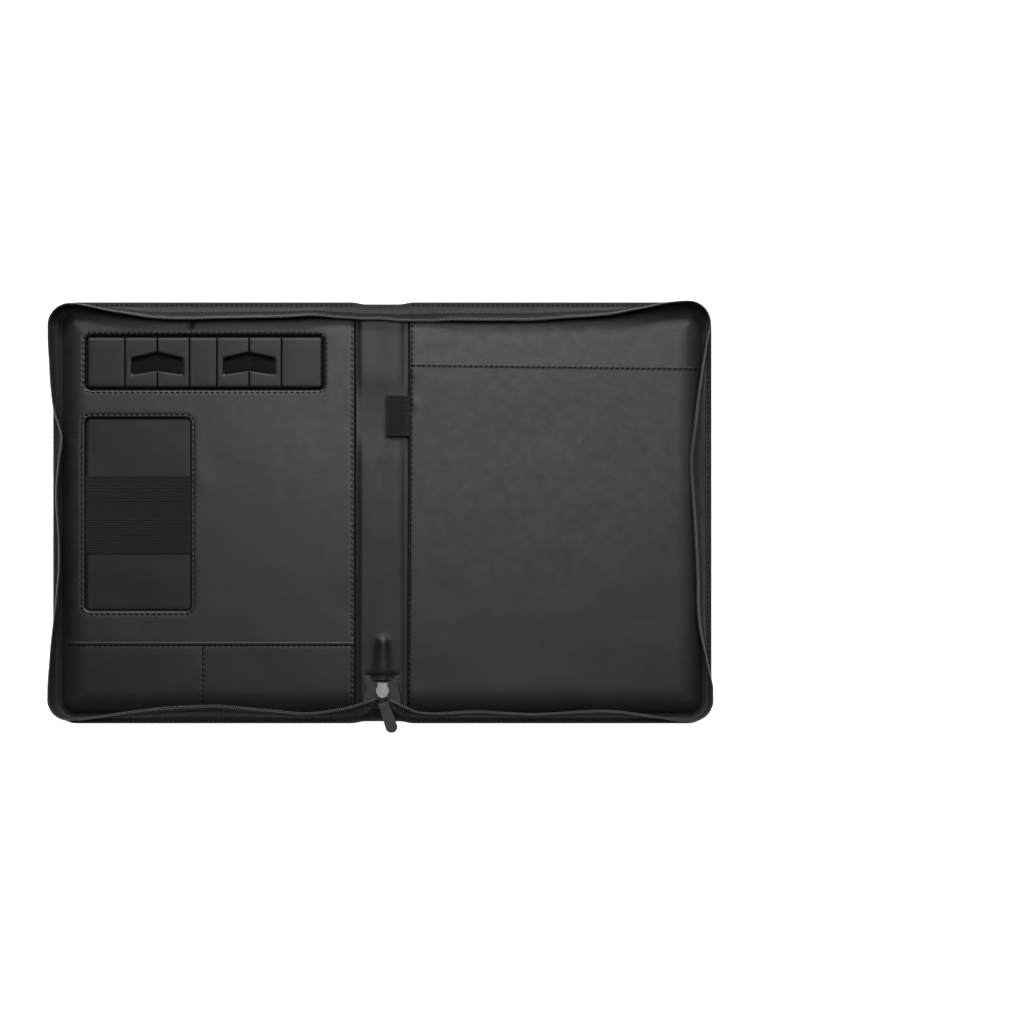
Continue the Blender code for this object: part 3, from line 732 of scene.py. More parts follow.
class Padding:
    """One cover's padded panel: rolled edges, seams, slow waves and dents."""

    def __init__(self, side):
        self.side = side
        outline = cover_outline(side, PANEL_START_X, EDGE_X - PANEL_HIGH.x)
        self.outline = strayed(outline) if side > 0 else outline
        self.rim = rim_of(outline, PANEL_START_X)
        self.holes = []
        self.seams = []
        self.dents = []

    def top(self, x, y):
        """Height of the upper surface."""
        points = grid_of(x, y)
        depth = distance_to(points, self.rim, closed=False)
        height = PANEL_TOP + CROWN + ripple(x, y, 70, 0.35, self.side) + ripple(x, y, 24, 0.12, 5 + self.side)
        height -= ROLL_DROP * np.clip(1 - depth / ROLL_WIDTH, 0, 1) ** ROLL_POWER
        edge = PANEL_START_X + (drift(y) if self.side > 0 else 0)
        height -= rolled(np.abs(x) - edge, SPINE_ROLL_WIDTH, SPINE_ROLL_DROP)
        for hole in self.holes:
            height -= rolled(distance_to(points, hole), HOLE_ROLL_WIDTH, HOLE_ROLL_DROP)
        for seam in self.seams:
            height -= pucker(points, seam, PANEL_PUCKER)
        for (a, b), size, rise in self.dents:
            height += rise * np.exp(-((x - a) ** 2 + ((y - b) * 0.6) ** 2) / size ** 2)
        return height

    def heights(self, x, y):
        """Upper and lower surface."""
        return self.top(x, y), PANEL_UNDERSIDE


def closed_path(loop):
    """A closed outline as an open path that ends where it starts."""
    return list(loop) + [loop[0]]


def add_right_panel(surfaces):
    """Padded panel of the right cover, sewn down along its spine edge."""
    pad = Padding(1)
    seam = [(through(RIGHT_SEAM, y), y) for y in SEAM_YS]
    pad.seams = [seam]
    pad.dents = [((27.5, 116), 3.0, 0.5), ((28.0, 92), 3.0, 0.5), ((150, 60), 60, 0.25),
                 ((90, -90), 50, -0.25)]
    made = closed_sheet("padded_panel_right", pad.outline, (), pad.heights, surfaces["panel"], 5.0,
                        (0.35, 0.9, 1.7, 2.8, 4.4, 6.4, 9, 12.5), seam_rows(seam))
    fit_piece(made, "right_half", replaces=("inner_panel_right",))
    add_pad_pocket(pad, seam, surfaces)


def pocket_edge(x):
    """Y of the pad pocket's slanting mouth."""
    return 126.2 - 3.3 * (x - 22) / 245


def add_pad_pocket(pad, seam, surfaces):
    """Large sheet pocket that lies on the right panel, with a folded hem at its mouth."""
    outline = strayed(cover_outline(1, PANEL_START_X + 0.5, POCKET_INSET, POCKET_MOUTH_Y))
    outline = [(x, pocket_edge(x)) if y > POCKET_MOUTH_Y - 0.01 else (x, y) for x, y in outline]
    mouth_seam = [(x, pocket_edge(x) - 2.4) for x in np.linspace(24, 265, 80)]
    mouth = [(x, pocket_edge(x)) for x in np.linspace(20, 268, 12)]

    def heights(x, y):
        points = grid_of(x, y)
        base = pad.top(x, y) + 0.08
        gap = distance_to(points, mouth, closed=False)
        hem = 0.35 * (1 - smooth(2.9, 3.5, gap)) - rolled(gap, 1.0, 0.6)
        loose = 0.45 * np.exp(-(gap / 40) ** 2) * (1 - np.abs((x - 145) / 130) ** 4)
        upper = base + 0.8 + hem + loose + ripple(x, y, 45, 0.2, 9)
        upper -= pucker(points, mouth_seam, POCKET_PUCKER)
        return upper, base + 0.02 + loose * 0.9

    def seam_top(x, y):
        return np.where(y < pocket_edge(x), heights(x, y)[0], pad.top(x, y))

    made = closed_sheet("pad_pocket_sheet", outline, (), heights, surfaces["pocket"], 5.0,
                        (0.3, 0.8, 1.5, 2.6, 3.3, 4.5, 7), seam_rows(seam, mouth_seam))
    fit_piece(made, "right_half", replaces=("pad_pocket",))
    made = stitch_rows("right_panel_stitches", [on_sheet(seam, seam_top)], surfaces["stitch"], SEAM_PITCH)
    fit_piece(made, "right_half")
    made = stitch_rows("pad_pocket_stitches", [on_sheet(mouth_seam, seam_top)], surfaces["stitch"],
                       4.4, 2.9, 0.42, 0.45)
    fit_piece(made, "right_half")


def window(x_range, y_range, grow, radius):
    """Rounded outline of a range, grown on each side."""
    (x0, x1), (y0, y1) = x_range, y_range
    return rounded_box((x0 - grow, x1 + grow), (y0 - grow, y1 + grow), (radius + grow,) * 4, 1.2)


def node_range(node, grow=0.0):
    """X and Y ranges of a CAD node, grown on each side."""
    low, high = cad_box(node)
    return (low.x - grow, high.x + grow), (low.y - grow, high.y + grow)


# ---------------------------------------------------------------- left half: panel, recesses, card pocket


def add_left_panel(surfaces):
    """Padded panel of the left cover, with two windows and a seam round each."""
    pad = Padding(-1)
    stand, phone = (node_range(node, 0.3) for node in ("stand_recess_floor", "phone_recess_floor"))
    pad.holes = [window(*stand, 0, 4.5), window(*phone, 0, 4.2)]
    spine_seam = [(LEFT_SEAM_X, y) for y in SEAM_YS]
    pad.seams = [closed_path(window(*stand, 2.0, 4.5)), closed_path(window(*phone, 3.2, 4.2)), spine_seam]
    pad.dents = [((-152, 33), 9, 0.4), ((-162, 160), 3, -0.9), ((-100, 20), 50, 0.3), ((-90, -60), 45, -0.25)]
    made = closed_sheet("padded_panel_left", pad.outline, pad.holes, pad.heights, surfaces["panel"], 5.0,
                        (0.35, 0.9, 1.5, 2.2, 4.4, 6.4, 9, 12.5), seam_rows(*pad.seams))
    fit_piece(made, "left_half", replaces=("inner_panel_left",))

    pocket_top = cad_box("card_pocket")[1].y
    shown = pad.seams[:2] + [[p for p in spine_seam if p[1] > pocket_top]]
    seams = [on_sheet(seam, pad.top) for seam in shown]
    made = stitch_rows("left_panel_stitches", seams, surfaces["stitch"], SEAM_PITCH)
    fit_piece(made, "left_half")
    add_card_pocket(pad, surfaces)


def add_card_pocket(pad, surfaces):
    """Shallow pocket along the foot of the left panel, divided by one seam."""
    top_y = cad_box("card_pocket")[1].y
    divider_x = -150.7
    outline = cover_outline(-1, PANEL_START_X + 0.5, POCKET_INSET, top_y)
    mouth = [(x, top_y) for x in np.linspace(-270, -20, 12)]
    mouth_seam = [(x, top_y - 3.3) for x in np.linspace(-265, -24, 80)]
    divider = [(divider_x, y) for y in np.linspace(top_y - 4, 16 - EDGE_Y, 20)]
    spine_seam = [(LEFT_SEAM_X, y) for y in np.linspace(top_y - 6, -164, 20)]
    seams = (mouth_seam, divider, spine_seam)

    def heights(x, y):
        points = grid_of(x, y)
        base = pad.top(x, y) + 0.06
        gap = distance_to(points, mouth, closed=False)
        loose = 0.5 * np.exp(-(gap / 25) ** 2) * np.abs(np.sin((x - divider_x) / 38))
        upper = base + 0.75 + loose + 0.3 * (1 - smooth(2.6, 3.2, gap)) - rolled(gap, 1.0, 0.65)
        upper += ripple(x, y, 40, 0.15, 17)
        for seam in seams:
            upper -= pucker(points, seam, POCKET_PUCKER)
        return upper, base + 0.02 + loose * 0.9

    made = closed_sheet("card_pocket_sheet", outline, (), heights, surfaces["pocket"], 4.5,
                        (0.3, 0.8, 1.6, 2.5, 3.4, 5), seam_rows(*seams))
    fit_piece(made, "left_half", replaces=("card_pocket",))
    rows = [on_sheet(seam, lambda x, y: heights(x, y)[0]) for seam in seams]
    made = stitch_rows("card_pocket_stitches", rows, surfaces["stitch"], 4.4, 2.9)
    fit_piece(made, "left_half")


def add_recess_floors(surfaces):
    """Cloth floors under the two windows of the left panel, slack between their glued edges."""
    for node, look, slot, swell in (("stand_recess_floor", "backing", "backing_cloth", 0.15),
                                    ("phone_recess_floor", "recess", "lining_leatherette", 0.3)):
        x_range, y_range = node_range(node)
        outline = window(x_range, y_range, -0.3, 4.0)
        floor_top = cad_box(node)[1].z

        def heights(x, y):
            depth = distance_to(grid_of(x, y), outline)
            upper = floor_top + ripple(x, y, 30, swell, 31) - rolled(depth, 2, 0.3)
            return upper, PANEL_UNDERSIDE

        made = closed_sheet(node + "_cloth", outline, (), heights, surfaces[look], 4.0, (0.5, 1.2, 2.5))
        fit_piece(made, "left_half", replaces=(node,))


def grid_sheet(name, xs, ys, heights, surface):
    """A closed sheet on a grid of places; heights gives its upper and lower surface."""
    across, along = np.meshgrid(xs, ys)
    x, y = across.ravel(), along.ravel()
    upper, lower = heights(x, y)
    columns, rows, count = len(xs), len(ys), len(x)
    points = list(zip(x, y, upper)) + list(zip(x, y, lower))
    faces = []
    for row in range(rows - 1):
        for a in range(row * columns, (row + 1) * columns - 1):
            quad = (a, a + 1, a + columns + 1, a + columns)
            faces += [quad, tuple(i + count for i in reversed(quad))]
    index = np.arange(count).reshape(rows, columns)
    ring = np.concatenate((index[0], index[1:, -1], index[-1, -2::-1], index[-2:0:-1, 0])).tolist()
    faces += [(b, a, a + count, b + count) for a, b in zip(ring, ring[1:] + ring[:1])]
    return mesh_piece(name, points, faces, surface, 60, [(a, b) for a, b, _ in points])


def ribs(place, pitch, height):
    """Rounded ribs with sharp valleys."""
    return height * np.abs(np.sin(math.pi * place / pitch)) ** 0.6


def add_phone_elastic(surfaces):
    """Wide elastic across the phone recess: ribbed, with a plain stripe and two hems."""
    low, high = cad_box("phone_elastic")
    pitch = 2.1
    rib_bands = ((3.0, 22.0), (36.0, 61.0))
    xs = np.linspace(low.x - 0.2, high.x + 0.2, 40)
    ys = np.linspace(low.y, high.y, 260)

    def heights(x, y):
        down = high.y - y
        sag = -0.12 * (1 - ((x - (low.x + high.x) / 2) / 44) ** 2)
        upper = high.z - 0.35 + sag
        for start, stop in rib_bands:
            within = smooth(start - 0.2, start, down) * (1 - smooth(stop, stop + 0.2, down))
            upper += within * (ribs(down - start, pitch, 0.6) - 0.2)
        upper += 0.05 * np.sin(down * 2 * math.pi / 0.8) * smooth(22, 23, down) * (1 - smooth(35, 36, down))
        hem = np.maximum(1 - smooth(2.4, 2.9, down), smooth(61.6, 62.2, down))
        upper += 0.22 * hem - rolled(np.minimum(down, y - low.y), 0.6, 0.4)
        return upper, low.z + sag

    made = grid_sheet("phone_elastic_band", xs, ys, heights, surfaces["elastic"])
    fit_piece(made, "left_half", replaces=("phone_elastic",))


# ---------------------------------------------------------------- folding stand

STAND_CHAIN = (
    ("stand_fixed_end", "left_half", None),
    ("stand_leg_1a", "stand_leg_1a", "right"),
    ("stand_leg_1b", "stand_leg_1b", "left"),
    ("stand_bridge", "stand_bridge", None),
    ("stand_leg_2a", "stand_leg_2a", "right"),
    ("stand_leg_2b", "stand_leg_2b", "left"),
    ("stand_sliding_end", "stand_sliding_end", None),
)
WINDOW_REACH = 21.0
HINGE_FILL = 0.2
STRIP_END_RADIUS, PANEL_CORNER = 3.4, 0.4
WINDOW_SIDE_Y, WINDOW_APEX_Y = (116.5, 129.5), (119.7, 134.3)


def filleted(corners, step=0.6):
    """Closed outline through (x, y, radius) corners, each rounded by its radius."""
    points = []
    count = len(corners)
    for index, (x, y, radius) in enumerate(corners):
        here = Vector((x, y))
        before = (Vector(corners[index - 1][:2]) - here).normalized()
        after = (Vector(corners[(index + 1) % count][:2]) - here).normalized()
        if radius == 0:
            points.append((x, y))
            continue
        half = before.angle(after) / 2
        reach = radius / math.tan(half)
        first, last = here + before * reach, here + after * reach
        pieces = max(3, round(radius * (math.pi - 2 * half) / step))
        for part in range(pieces + 1):
            share = part / pieces
            first_mix = first.lerp(here, share)
            last_mix = here.lerp(last, share)
            mixed = first_mix.lerp(last_mix, share)
            points.append((mixed.x, mixed.y))
    return points


def window_corners(apex, foot):
    """Half a chevron window, whose open edge is at the apex."""
    inner = apex + math.copysign(WINDOW_REACH, foot - apex)
    return [(apex, WINDOW_APEX_Y[0]), (inner, WINDOW_SIDE_Y[0]), (inner, WINDOW_SIDE_Y[1]),
            (apex, WINDOW_APEX_Y[1])]


def stand_outline(node, window_side):
    """Outline of one panel of the stand, round at the strip's ends or cut by half a window."""
    (x0, x1), (y0, y1) = node_range(node)
    x0 -= HINGE_FILL
    x1 += HINGE_FILL
    if window_side is None:
        left = STRIP_END_RADIUS if node == "stand_fixed_end" else PANEL_CORNER
        right = STRIP_END_RADIUS if node == "stand_sliding_end" else PANEL_CORNER
        corners = ((x0, y0, left), (x1, y0, right), (x1, y1, right), (x0, y1, left))
        return spaced_loop(filleted(corners), 1.2)
    apex, foot = (x1, x0) if window_side == "right" else (x0, x1)
    cut = [(x, y, radius) for (x, y), radius in zip(window_corners(apex, foot), (0.3, 2.0, 2.0, 0.3))]
    corners = [(foot, y0, PANEL_CORNER), (apex, y0, PANEL_CORNER), *cut,
               (apex, y1, PANEL_CORNER), (foot, y1, PANEL_CORNER)]
    if window_side == "left":
        corners.reverse()
    return spaced_loop(filleted(corners), 1.2)


def window_edge(node, window_side):
    """The edge of a panel's half window."""
    (x0, x1), _ = node_range(node)
    return window_corners(x1, x0) if window_side == "right" else window_corners(x0, x1)


def add_stand(surfaces):
    """Seven padded panels of one strip: crowned, rolled at every edge, most along the long sides."""
    for index, (node, body, window_side) in enumerate(STAND_CHAIN):
        outline = stand_outline(node, window_side)
        low, high = cad_box(node)

        def heights(x, y):
            points = grid_of(x, y)
            depth = distance_to(points, outline)
            side_depth = np.minimum(y - low.y, high.y - y)
            upper = high.z + 0.35 - rolled(depth, 1.3, 0.8) - rolled(side_depth, 3.4, 1.6)
            if window_side is not None:
                upper -= rolled(distance_to(points, window_edge(node, window_side), closed=False), 2.2, 1.1)
            if node in ("stand_fixed_end", "stand_sliding_end"):
                end_depth = x - low.x if node == "stand_fixed_end" else high.x - x
                upper -= rolled(end_depth, 2.6, 1.0)
            upper += ripple(x, y, 16, 0.12, 41 + index) + 0.1 * smooth(2, 9, depth)
            return upper, low.z + 0.5 * np.clip(1 - depth / 0.7, 0, 1) ** 2

        made = closed_sheet(node + "_pad", outline, (), heights, surfaces["stand"], 2.6,
                            (0.2, 0.5, 0.9, 1.5, 2.4, 3.4))
        fit_piece(made, body, replaces=(node,))


# ---------------------------------------------------------------- zip walls

STATION_STEP = 2.0
TAPE_END_X, COIL_END_X = 2.4, 4.2


def droop(x):
    """Share of its full height that the wall keeps; it sinks towards the spine."""
    return DROOP_NEAR_SPINE + (1 - DROOP_NEAR_SPINE) * float(smooth(DROOP_START_X, DROOP_END_X, abs(x)))


def wall_stations(side, bottom_end=0.0):
    """Foot, inward direction, lean and run length along one half's rim, from the spine's top end down."""
    leans = LEANS[side]
    corner_x, corner_y = EDGE_X - CORNER_RADIUS, EDGE_Y - CORNER_RADIUS
    radius = CORNER_RADIUS - WALL_INSET
    found = []

    def straight(keys, start, stop, foot_of, inward):
        count = max(1, round(abs(stop - start) / STATION_STEP))
        for index in range(count):
            place = start + (stop - start) * index / count
            found.append((foot_of(place), inward, through(keys, place)))

    def corner(centre_y, start, first, last):
        count = round(radius * math.pi / 2 / STATION_STEP) * 2
        for index in range(count):
            share = index / count
            angle = start - share * math.pi / 2
            outward = (math.cos(angle), math.sin(angle))
            foot = (corner_x + radius * outward[0], centre_y + radius * outward[1])
            found.append((foot, (-outward[0], -outward[1]), first + (last - first) * share))

    straight(leans["top"], 0.0, corner_x, lambda x: (x, FOOT_Y), (0, -1))
    corner(corner_y, math.pi / 2, through(leans["top"], corner_x), through(leans["fore"], corner_y))
    straight(leans["fore"], corner_y, -corner_y, lambda y: (FOOT_X, y), (-1, 0))
    corner(-corner_y, 0, through(leans["fore"], -corner_y), through(leans["bottom"], corner_x))
    straight(leans["bottom"], corner_x, bottom_end, lambda x: (x, -FOOT_Y), (0, 1))
    found.append(((bottom_end, -FOOT_Y), (0, 1), through(leans["bottom"], bottom_end)))
    stations, run = [], 0.0
    for index, (foot, inward, lean) in enumerate(found):
        if index:
            before = found[index - 1][0]
            run += math.hypot(foot[0] - before[0], foot[1] - before[1])
        stations.append(((side * foot[0], foot[1]), (side * inward[0], inward[1]), lean, run))
    return stations


def gusset_fold(x, y, reach):
    """Folds pressed into the slack cloth beside the zip's end at the foot of the spine."""
    if y > 0 or abs(x) > 30:
        return 0.0
    diagonal = abs(x) - (19.0 - 0.95 * reach)
    pleat = abs(x) - 3.0
    return -1.6 * math.exp(-(diagonal / 1.9) ** 2) - 0.3 * math.exp(-(pleat / 2.5) ** 2)


def wall_line(station, reaches, off=0.0):
    """(inward, height) places of the wall's cloth at the given reaches up it, off its middle."""
    (x, y), _, lean, run = station
    rise = math.sqrt(WALL_LENGTH ** 2 - lean ** 2) * droop(x)
    along = np.array((lean, rise)) / WALL_LENGTH
    unit = along / np.hypot(*along)
    normal = np.array((unit[1], -unit[0]))
    line = []
    for reach in reaches:
        bow = -0.7 * math.sin(math.pi * min(1, reach / WALL_LENGTH))
        bow += 0.3 * noise.noise(Vector((run / 17, reach / 12, 3.0))) * min(1, reach / 6)
        bow += gusset_fold(x, y, reach)
        line.append(np.array((0.0, PANEL_BASE + 0.4)) + along * reach + normal * (off + bow))
    return line


def placed(station, line):
    """3-D points of an (inward, height) line at a station, drawn in with the spine's ends."""
    (x, y), inward, _, _ = station
    points = []
    for across, height in line:
        place_x, place_y = x + inward[0] * across, y + inward[1] * across
        points.append((place_x, place_y - float(spine_dip(place_x, place_y)), height))
    return points


def ribbon(line, thickness):
    """Closed ring around an open 2-D line."""
    line = np.array(line)
    step = np.gradient(line, axis=0)
    normal = np.stack((-step[:, 1], step[:, 0]), 1) / np.hypot(step[:, 0], step[:, 1])[:, None]
    return np.concatenate((line + normal * thickness / 2, (line - normal * thickness / 2)[::-1]))


def swept_band(name, stations, line_of, thickness, surface):
    """A strip of cloth swept along the rim; line_of(station) gives its section."""
    rings, cloth = [], []
    for station in stations:
        line = line_of(station)
        reach = np.concatenate(([0], np.cumsum(np.hypot(*np.diff(np.array(line), axis=0).T))))
        rings.append(placed(station, ribbon(line, thickness)))
        cloth += [(station[3], r) for r in np.concatenate((reach, reach[::-1]))]
    return swept(name, rings, surface, cloth)


FLANGE = ((-4.1, 4.02), (-3.2, 4.08), (-2.3, 4.0), (-1.4, 4.06), (-0.6, 4.15), (-0.1, 4.5))
GUSSET_REACHES = (1.6, 2.8, 4.2, 5.7, 7.2, 8.6, 9.9)
TAPE_REACHES = (6.4, 7.5, 8.6, 9.7, 11, 12.4, 13.8, 15.4, 17.0)


def add_zip_wall(side, surfaces):
    """Gusset cloth, zip tape, their stitches and the coil along one half's rim."""
    word = WORD[side]
    stations = wall_stations(side)
    gusset = swept_band("gusset_wall_" + word, stations,
                        lambda s: [np.array(p) for p in FLANGE] + wall_line(s, GUSSET_REACHES), 0.7,
                        surfaces["gusset"])
    nodes = ("zip_gusset_" + word,) + (("spine_gusset_top", "spine_gusset_bottom") if side > 0 else ())
    fit_piece(gusset, replaces=nodes)

    tape_stations = wall_stations(side, TAPE_END_X)
    tape = swept_band("woven_tape_" + word, tape_stations, lambda s: wall_line(s, TAPE_REACHES, 0.62), 0.5,
                      surfaces["tape"])
    nodes = ("zip_tape_" + word,) + (("spine_tape_top",) if side > 0 else ())
    fit_piece(tape, replaces=nodes)

    flange = [Vector(placed(s, ((-2.3, 4.42),))[0]) for s in stations if abs(s[0][0]) > 22 or s[0][1] < 0]
    made = stitch_rows("rim_stitches_" + word, [flange], surfaces["stitch"], 4.2, 2.9, 0.4, 0.1)
    fit_piece(made)
    seam = [Vector(placed(s, wall_line(s, (8.9,), -0.42))[0]) for s in stations]
    made = stitch_rows("tape_stitches_" + word, [seam], surfaces["stitch"], 3.4, 2.2, 0.22, 0.05)
    fit_piece(made)
    add_coil(side, surfaces)


COIL_HALF_WIDTH, COIL_HALF_DEPTH = 1.25, 0.72
COIL_WIRE = 0.27
COIL_POINTS = 12
# Share of a turn's pitch that the wire gains on the tape's inner and outer side
INNER_GAIN, OUTER_GAIN = 0.12, 0.88
CORD_RADIUS = 0.58
WIRE_SIDES = 6


def add_coil(side, surfaces):
    """Nylon filament wound along the tape's free edge, with a cord through it."""
    stations = wall_stations(side, COIL_END_X)
    runs = np.array([s[3] for s in stations])
    middles = np.array([placed(s, wall_line(s, (COIL_MIDDLE,), 0.45))[0] for s in stations])
    tops = np.array([placed(s, wall_line(s, (COIL_MIDDLE + 1,), 0.45))[0] for s in stations])
    inners = np.array([placed(s, wall_line(s, (COIL_MIDDLE,), 1.45))[0] for s in stations])
    turns = int(runs[-1] / COIL_PITCH)
    step = np.arange(turns * COIL_POINTS + 1)
    turn, phase = step // COIL_POINTS, (step % COIL_POINTS) / COIL_POINTS * 2 * math.pi
    inner_share = np.clip(phase / math.pi, 0, 1)
    outer_share = np.clip(phase / math.pi - 1, 0, 1)
    place = (turn + INNER_GAIN * inner_share + OUTER_GAIN * outer_share) * COIL_PITCH

    def at(values):
        return np.stack([np.interp(place, runs, values[:, i]) for i in range(3)], 1)

    centre = at(middles)
    up, inward = at(tops) - centre, at(inners) - centre
    rise, lean = np.cos(phase) * COIL_HALF_WIDTH, np.sin(phase) * COIL_HALF_DEPTH
    wire = centre + up * rise[:, None] + inward * lean[:, None]
    coil = wire_tube("zip_coil_wound_" + WORD[side], wire, centre, COIL_WIRE, surfaces["coil"])
    nodes = ("zip_coil_" + WORD[side], "spine_coil_bottom_" + WORD[side])
    fit_piece(coil,
              replaces=nodes + (("spine_coil_top",) if side > 0 else ()))
    core = wire_tube("zip_core_cord_" + WORD[side], middles, tops, CORD_RADIUS, surfaces["cord"])
    fit_piece(core)


def wire_tube(name, path, centre, radius, surface):
    """A closed round wire along a row of points; centre gives the side its rings start from."""
    tangent = np.gradient(path, axis=0)
    tangent /= np.linalg.norm(tangent, axis=1)[:, None]
    spoke = path - centre
    spoke -= tangent * (spoke * tangent).sum(1)[:, None]
    spoke /= np.linalg.norm(spoke, axis=1)[:, None]
    other = np.cross(tangent, spoke)
    angles = np.arange(WIRE_SIDES) * 2 * math.pi / WIRE_SIDES
    rings = [path + radius * (spoke * math.cos(a) + other * math.sin(a)) for a in angles]
    rings = np.stack(rings, 1)
    return swept(name, [list(map(tuple, ring)) for ring in rings], surface, smooth_angle=80)


# ---------------------------------------------------------------- spine lining and zip end

LINING_REACH = 26.0
LINING_END_Y = 170.0
LINING_TUCK_TOP = 3.55
ZIP_TAIL = ((0.8, -109.5), (0.6, -139.0))
FLAP_SEAM_Y = -136.6
LINING_CREST = 4.75
PEN_MIDDLE_Y, PEN_DIP = 81.0, 1.3


def tail_rise(x, y):
    """Ridge that the closed zip's tail raises in the lining, between two shallow valleys."""
    (_, head), (_, foot) = ZIP_TAIL
    gap = distance_to(grid_of(x, y), ZIP_TAIL, closed=False)
    share = np.clip((head - y) / (head - foot), 0, 1)
    width = 4.7 + 2.2 * share
    ridge = (2.1 - 0.8 * share) * np.exp(-(gap / width) ** 2.4)
    valley = 0.35 * share * np.exp(-((gap - 9.5 - 2.5 * share) / 3.0) ** 2)
    return (ridge - valley) * smooth(foot - 5, foot - 1, y)


def lining_top(x, y):
    """Upper surface of the soft lining: level at the left, rounded down to a trough at the right."""
    crest = LINING_CREST - PEN_DIP * np.exp(-((y - PEN_MIDDLE_Y) / 26) ** 4)
    crest = crest - 0.9 * np.exp(-((x / 11) ** 4)) * (1 - smooth(-145, -140, y))
    fall = np.where(x > 0, np.clip((x - 7) / 13.6, 0, 1) ** 3, smooth(18.6, 20.3, -x))
    height = crest - (crest - np.where(x > 0, 2.75, 3.2)) * fall + (1 - fall) * tail_rise(x, y)
    waves = np.array([noise.noise(Vector((a / 17, b / 80, 61.0))) for a, b in zip(x, y)])
    height += (1 - fall) * (0.45 * waves + ripple(x, y, 24, 0.12, 62))
    height -= channel(y - FLAP_LEVEL_Y - 1.0, 0.8, 0.8) * (np.abs(x) < 11)
    height -= channel(y - FLAP_SEAM_Y, 1.6, 0.5) * (np.abs(x) < 14)
    return np.minimum(height, 8.0)


def add_spine_lining(surfaces):
    """Two halves of one lining; each is tucked under a panel."""
    for side in (1, -1):
        x_range = (0, LINING_REACH) if side > 0 else (-LINING_REACH, 0)
        outline = rounded_box(x_range, (-LINING_END_Y, LINING_END_Y), (0, 0, 0, 0))

        def heights(x, y):
            tucked = smooth(20.2, 21.4, np.abs(x))
            upper = lining_top(x, y) * (1 - tucked) + LINING_TUCK_TOP * tucked
            return upper, np.minimum(2.6 * (1 - tucked) + 3.32 * tucked, upper - 0.15)

        tail_ys = np.arange(-145, -100, 1.2)
        tail_rows = [[(side * x, y) for y in tail_ys] for x in np.arange(0.6, 13, 1.2)]
        made = closed_sheet("spine_lining_" + WORD[side], outline, (), heights, surfaces["spine"], 2.4,
                            (0.6,), tail_rows)
        nodes = ("spine_lining", "zip_tail") if side > 0 else ()
        fit_piece(made, replaces=nodes)


FLAP_LEVEL_Y, FLAP_SLOPE = -140.5, 0.18
FLAP_FACE_Z = 4.4
FLAP_CORNERS = ((-13.4, -140.2, 0.8), (-16.9, -158.6, 2.0), (-14.5, -161.6, 2.0), (14.5, -161.6, 2.0),
                (16.6, -158.6, 2.0), (12.7, -140.2, 0.8))


def flap_top(y):
    """Height of the sloping flap's face."""
    return FLAP_FACE_Z + FLAP_SLOPE * np.maximum(0, FLAP_LEVEL_Y - y)


def add_zip_end(surfaces):
    """Trapezoid flap that carries the zip's end up to the slider, and its row of stitches."""
    outline = spaced_loop(filleted(FLAP_CORNERS), 1.0)

    def heights(x, y):
        points = grid_of(x, y)
        depth = distance_to(points, outline)
        sides = np.maximum(0, np.abs(x) - 8) ** 2 * 0.006
        upper = flap_top(y) - rolled(depth, 0.7, 0.4) - sides + ripple(x, y, 7, 0.12, 71)
        return upper, upper - 0.75 + rolled(depth, 0.5, 0.2)

    made = closed_sheet("zip_end_flap_sheet", outline, (), heights, surfaces["flap"], 1.6, (0.25, 0.6, 1.1))
    fit_piece(made, "spine", replaces=("zip_end_flap",))

    places = np.linspace(-13.4, 13.4, 40)
    tops = lining_top(places, np.full(40, FLAP_SEAM_Y)) + 0.3
    row = [Vector((x, FLAP_SEAM_Y, z)) for x, z in zip(places, tops)]
    made = stitch_rows("zip_end_stitches", [row], surfaces["stitch"], 3.3, 2.5, 0.5, 0.1)
    fit_piece(made, "spine")


GUSSET_PATCH = ((-19.0, -174.7, 1.0), (19.0, -174.7, 1.0), (9.6, -163.2, 1.0), (-9.6, -163.2, 1.0))


def add_bottom_gusset(surfaces):
    """Leatherette box pleat that closes the foot of the spine under the puller."""
    outline = spaced_loop(filleted(GUSSET_PATCH), 1.0)
    fold_x = -8.6

    def heights(x, y):
        depth = distance_to(grid_of(x, y), outline)
        upper = 5.0 + 0.36 * np.maximum(0, y + FOOT_Y) - 0.25 * smooth(-171.5, -174.5, y)
        upper += 0.45 * smooth(fold_x - 0.5, fold_x + 0.3, x) - rolled(depth, 0.9, 0.6)
        upper += ripple(x, y, 8, 0.35, 83) + channel(y + 172.0, 0.6, -0.35)
        return upper, upper - 0.7

    fold_ys = np.arange(-174, -163, 0.8)
    fold_rows = [[(x, y) for y in fold_ys] for x in (fold_x - 0.6, fold_x - 0.3, fold_x, fold_x + 0.4)]
    made = closed_sheet("spine_gusset_pleat", outline, (), heights, surfaces["flap"], 1.4, (0.3, 0.7, 1.2),
                        fold_rows)
    fit_piece(made, "spine")


# ---------------------------------------------------------------- pen loop


PEN_LOW_Z, PEN_WALL = 8.6, 0.8
PEN_RIB_PITCH, PEN_RIB = 1.55, 0.5
PEN_HIDDEN_POINT = 20
# Tail of the loop's outer and inner face, round the seam: (x, height over the tube's underside)
PEN_TAILS = (
    ((18.8, -0.05), (20.6, -0.25), (21.5, -0.8), (22.2, -1.5), (22.8, -1.6), (23.2, -1.1), (23.1, -0.1),
     (22.3, 1.5), (21.0, 3.6)),
    ((18.6, 0.8), (20.0, 0.7), (20.9, 0.5), (21.5, 0.4), (21.8, 0.5), (21.9, 0.7), (21.8, 1.0), (21.2, 2.0),
     (20.0, 3.6)),
)
PEN_SHOULDERS = ((19.0, 0.8), (18.3, 1.6))


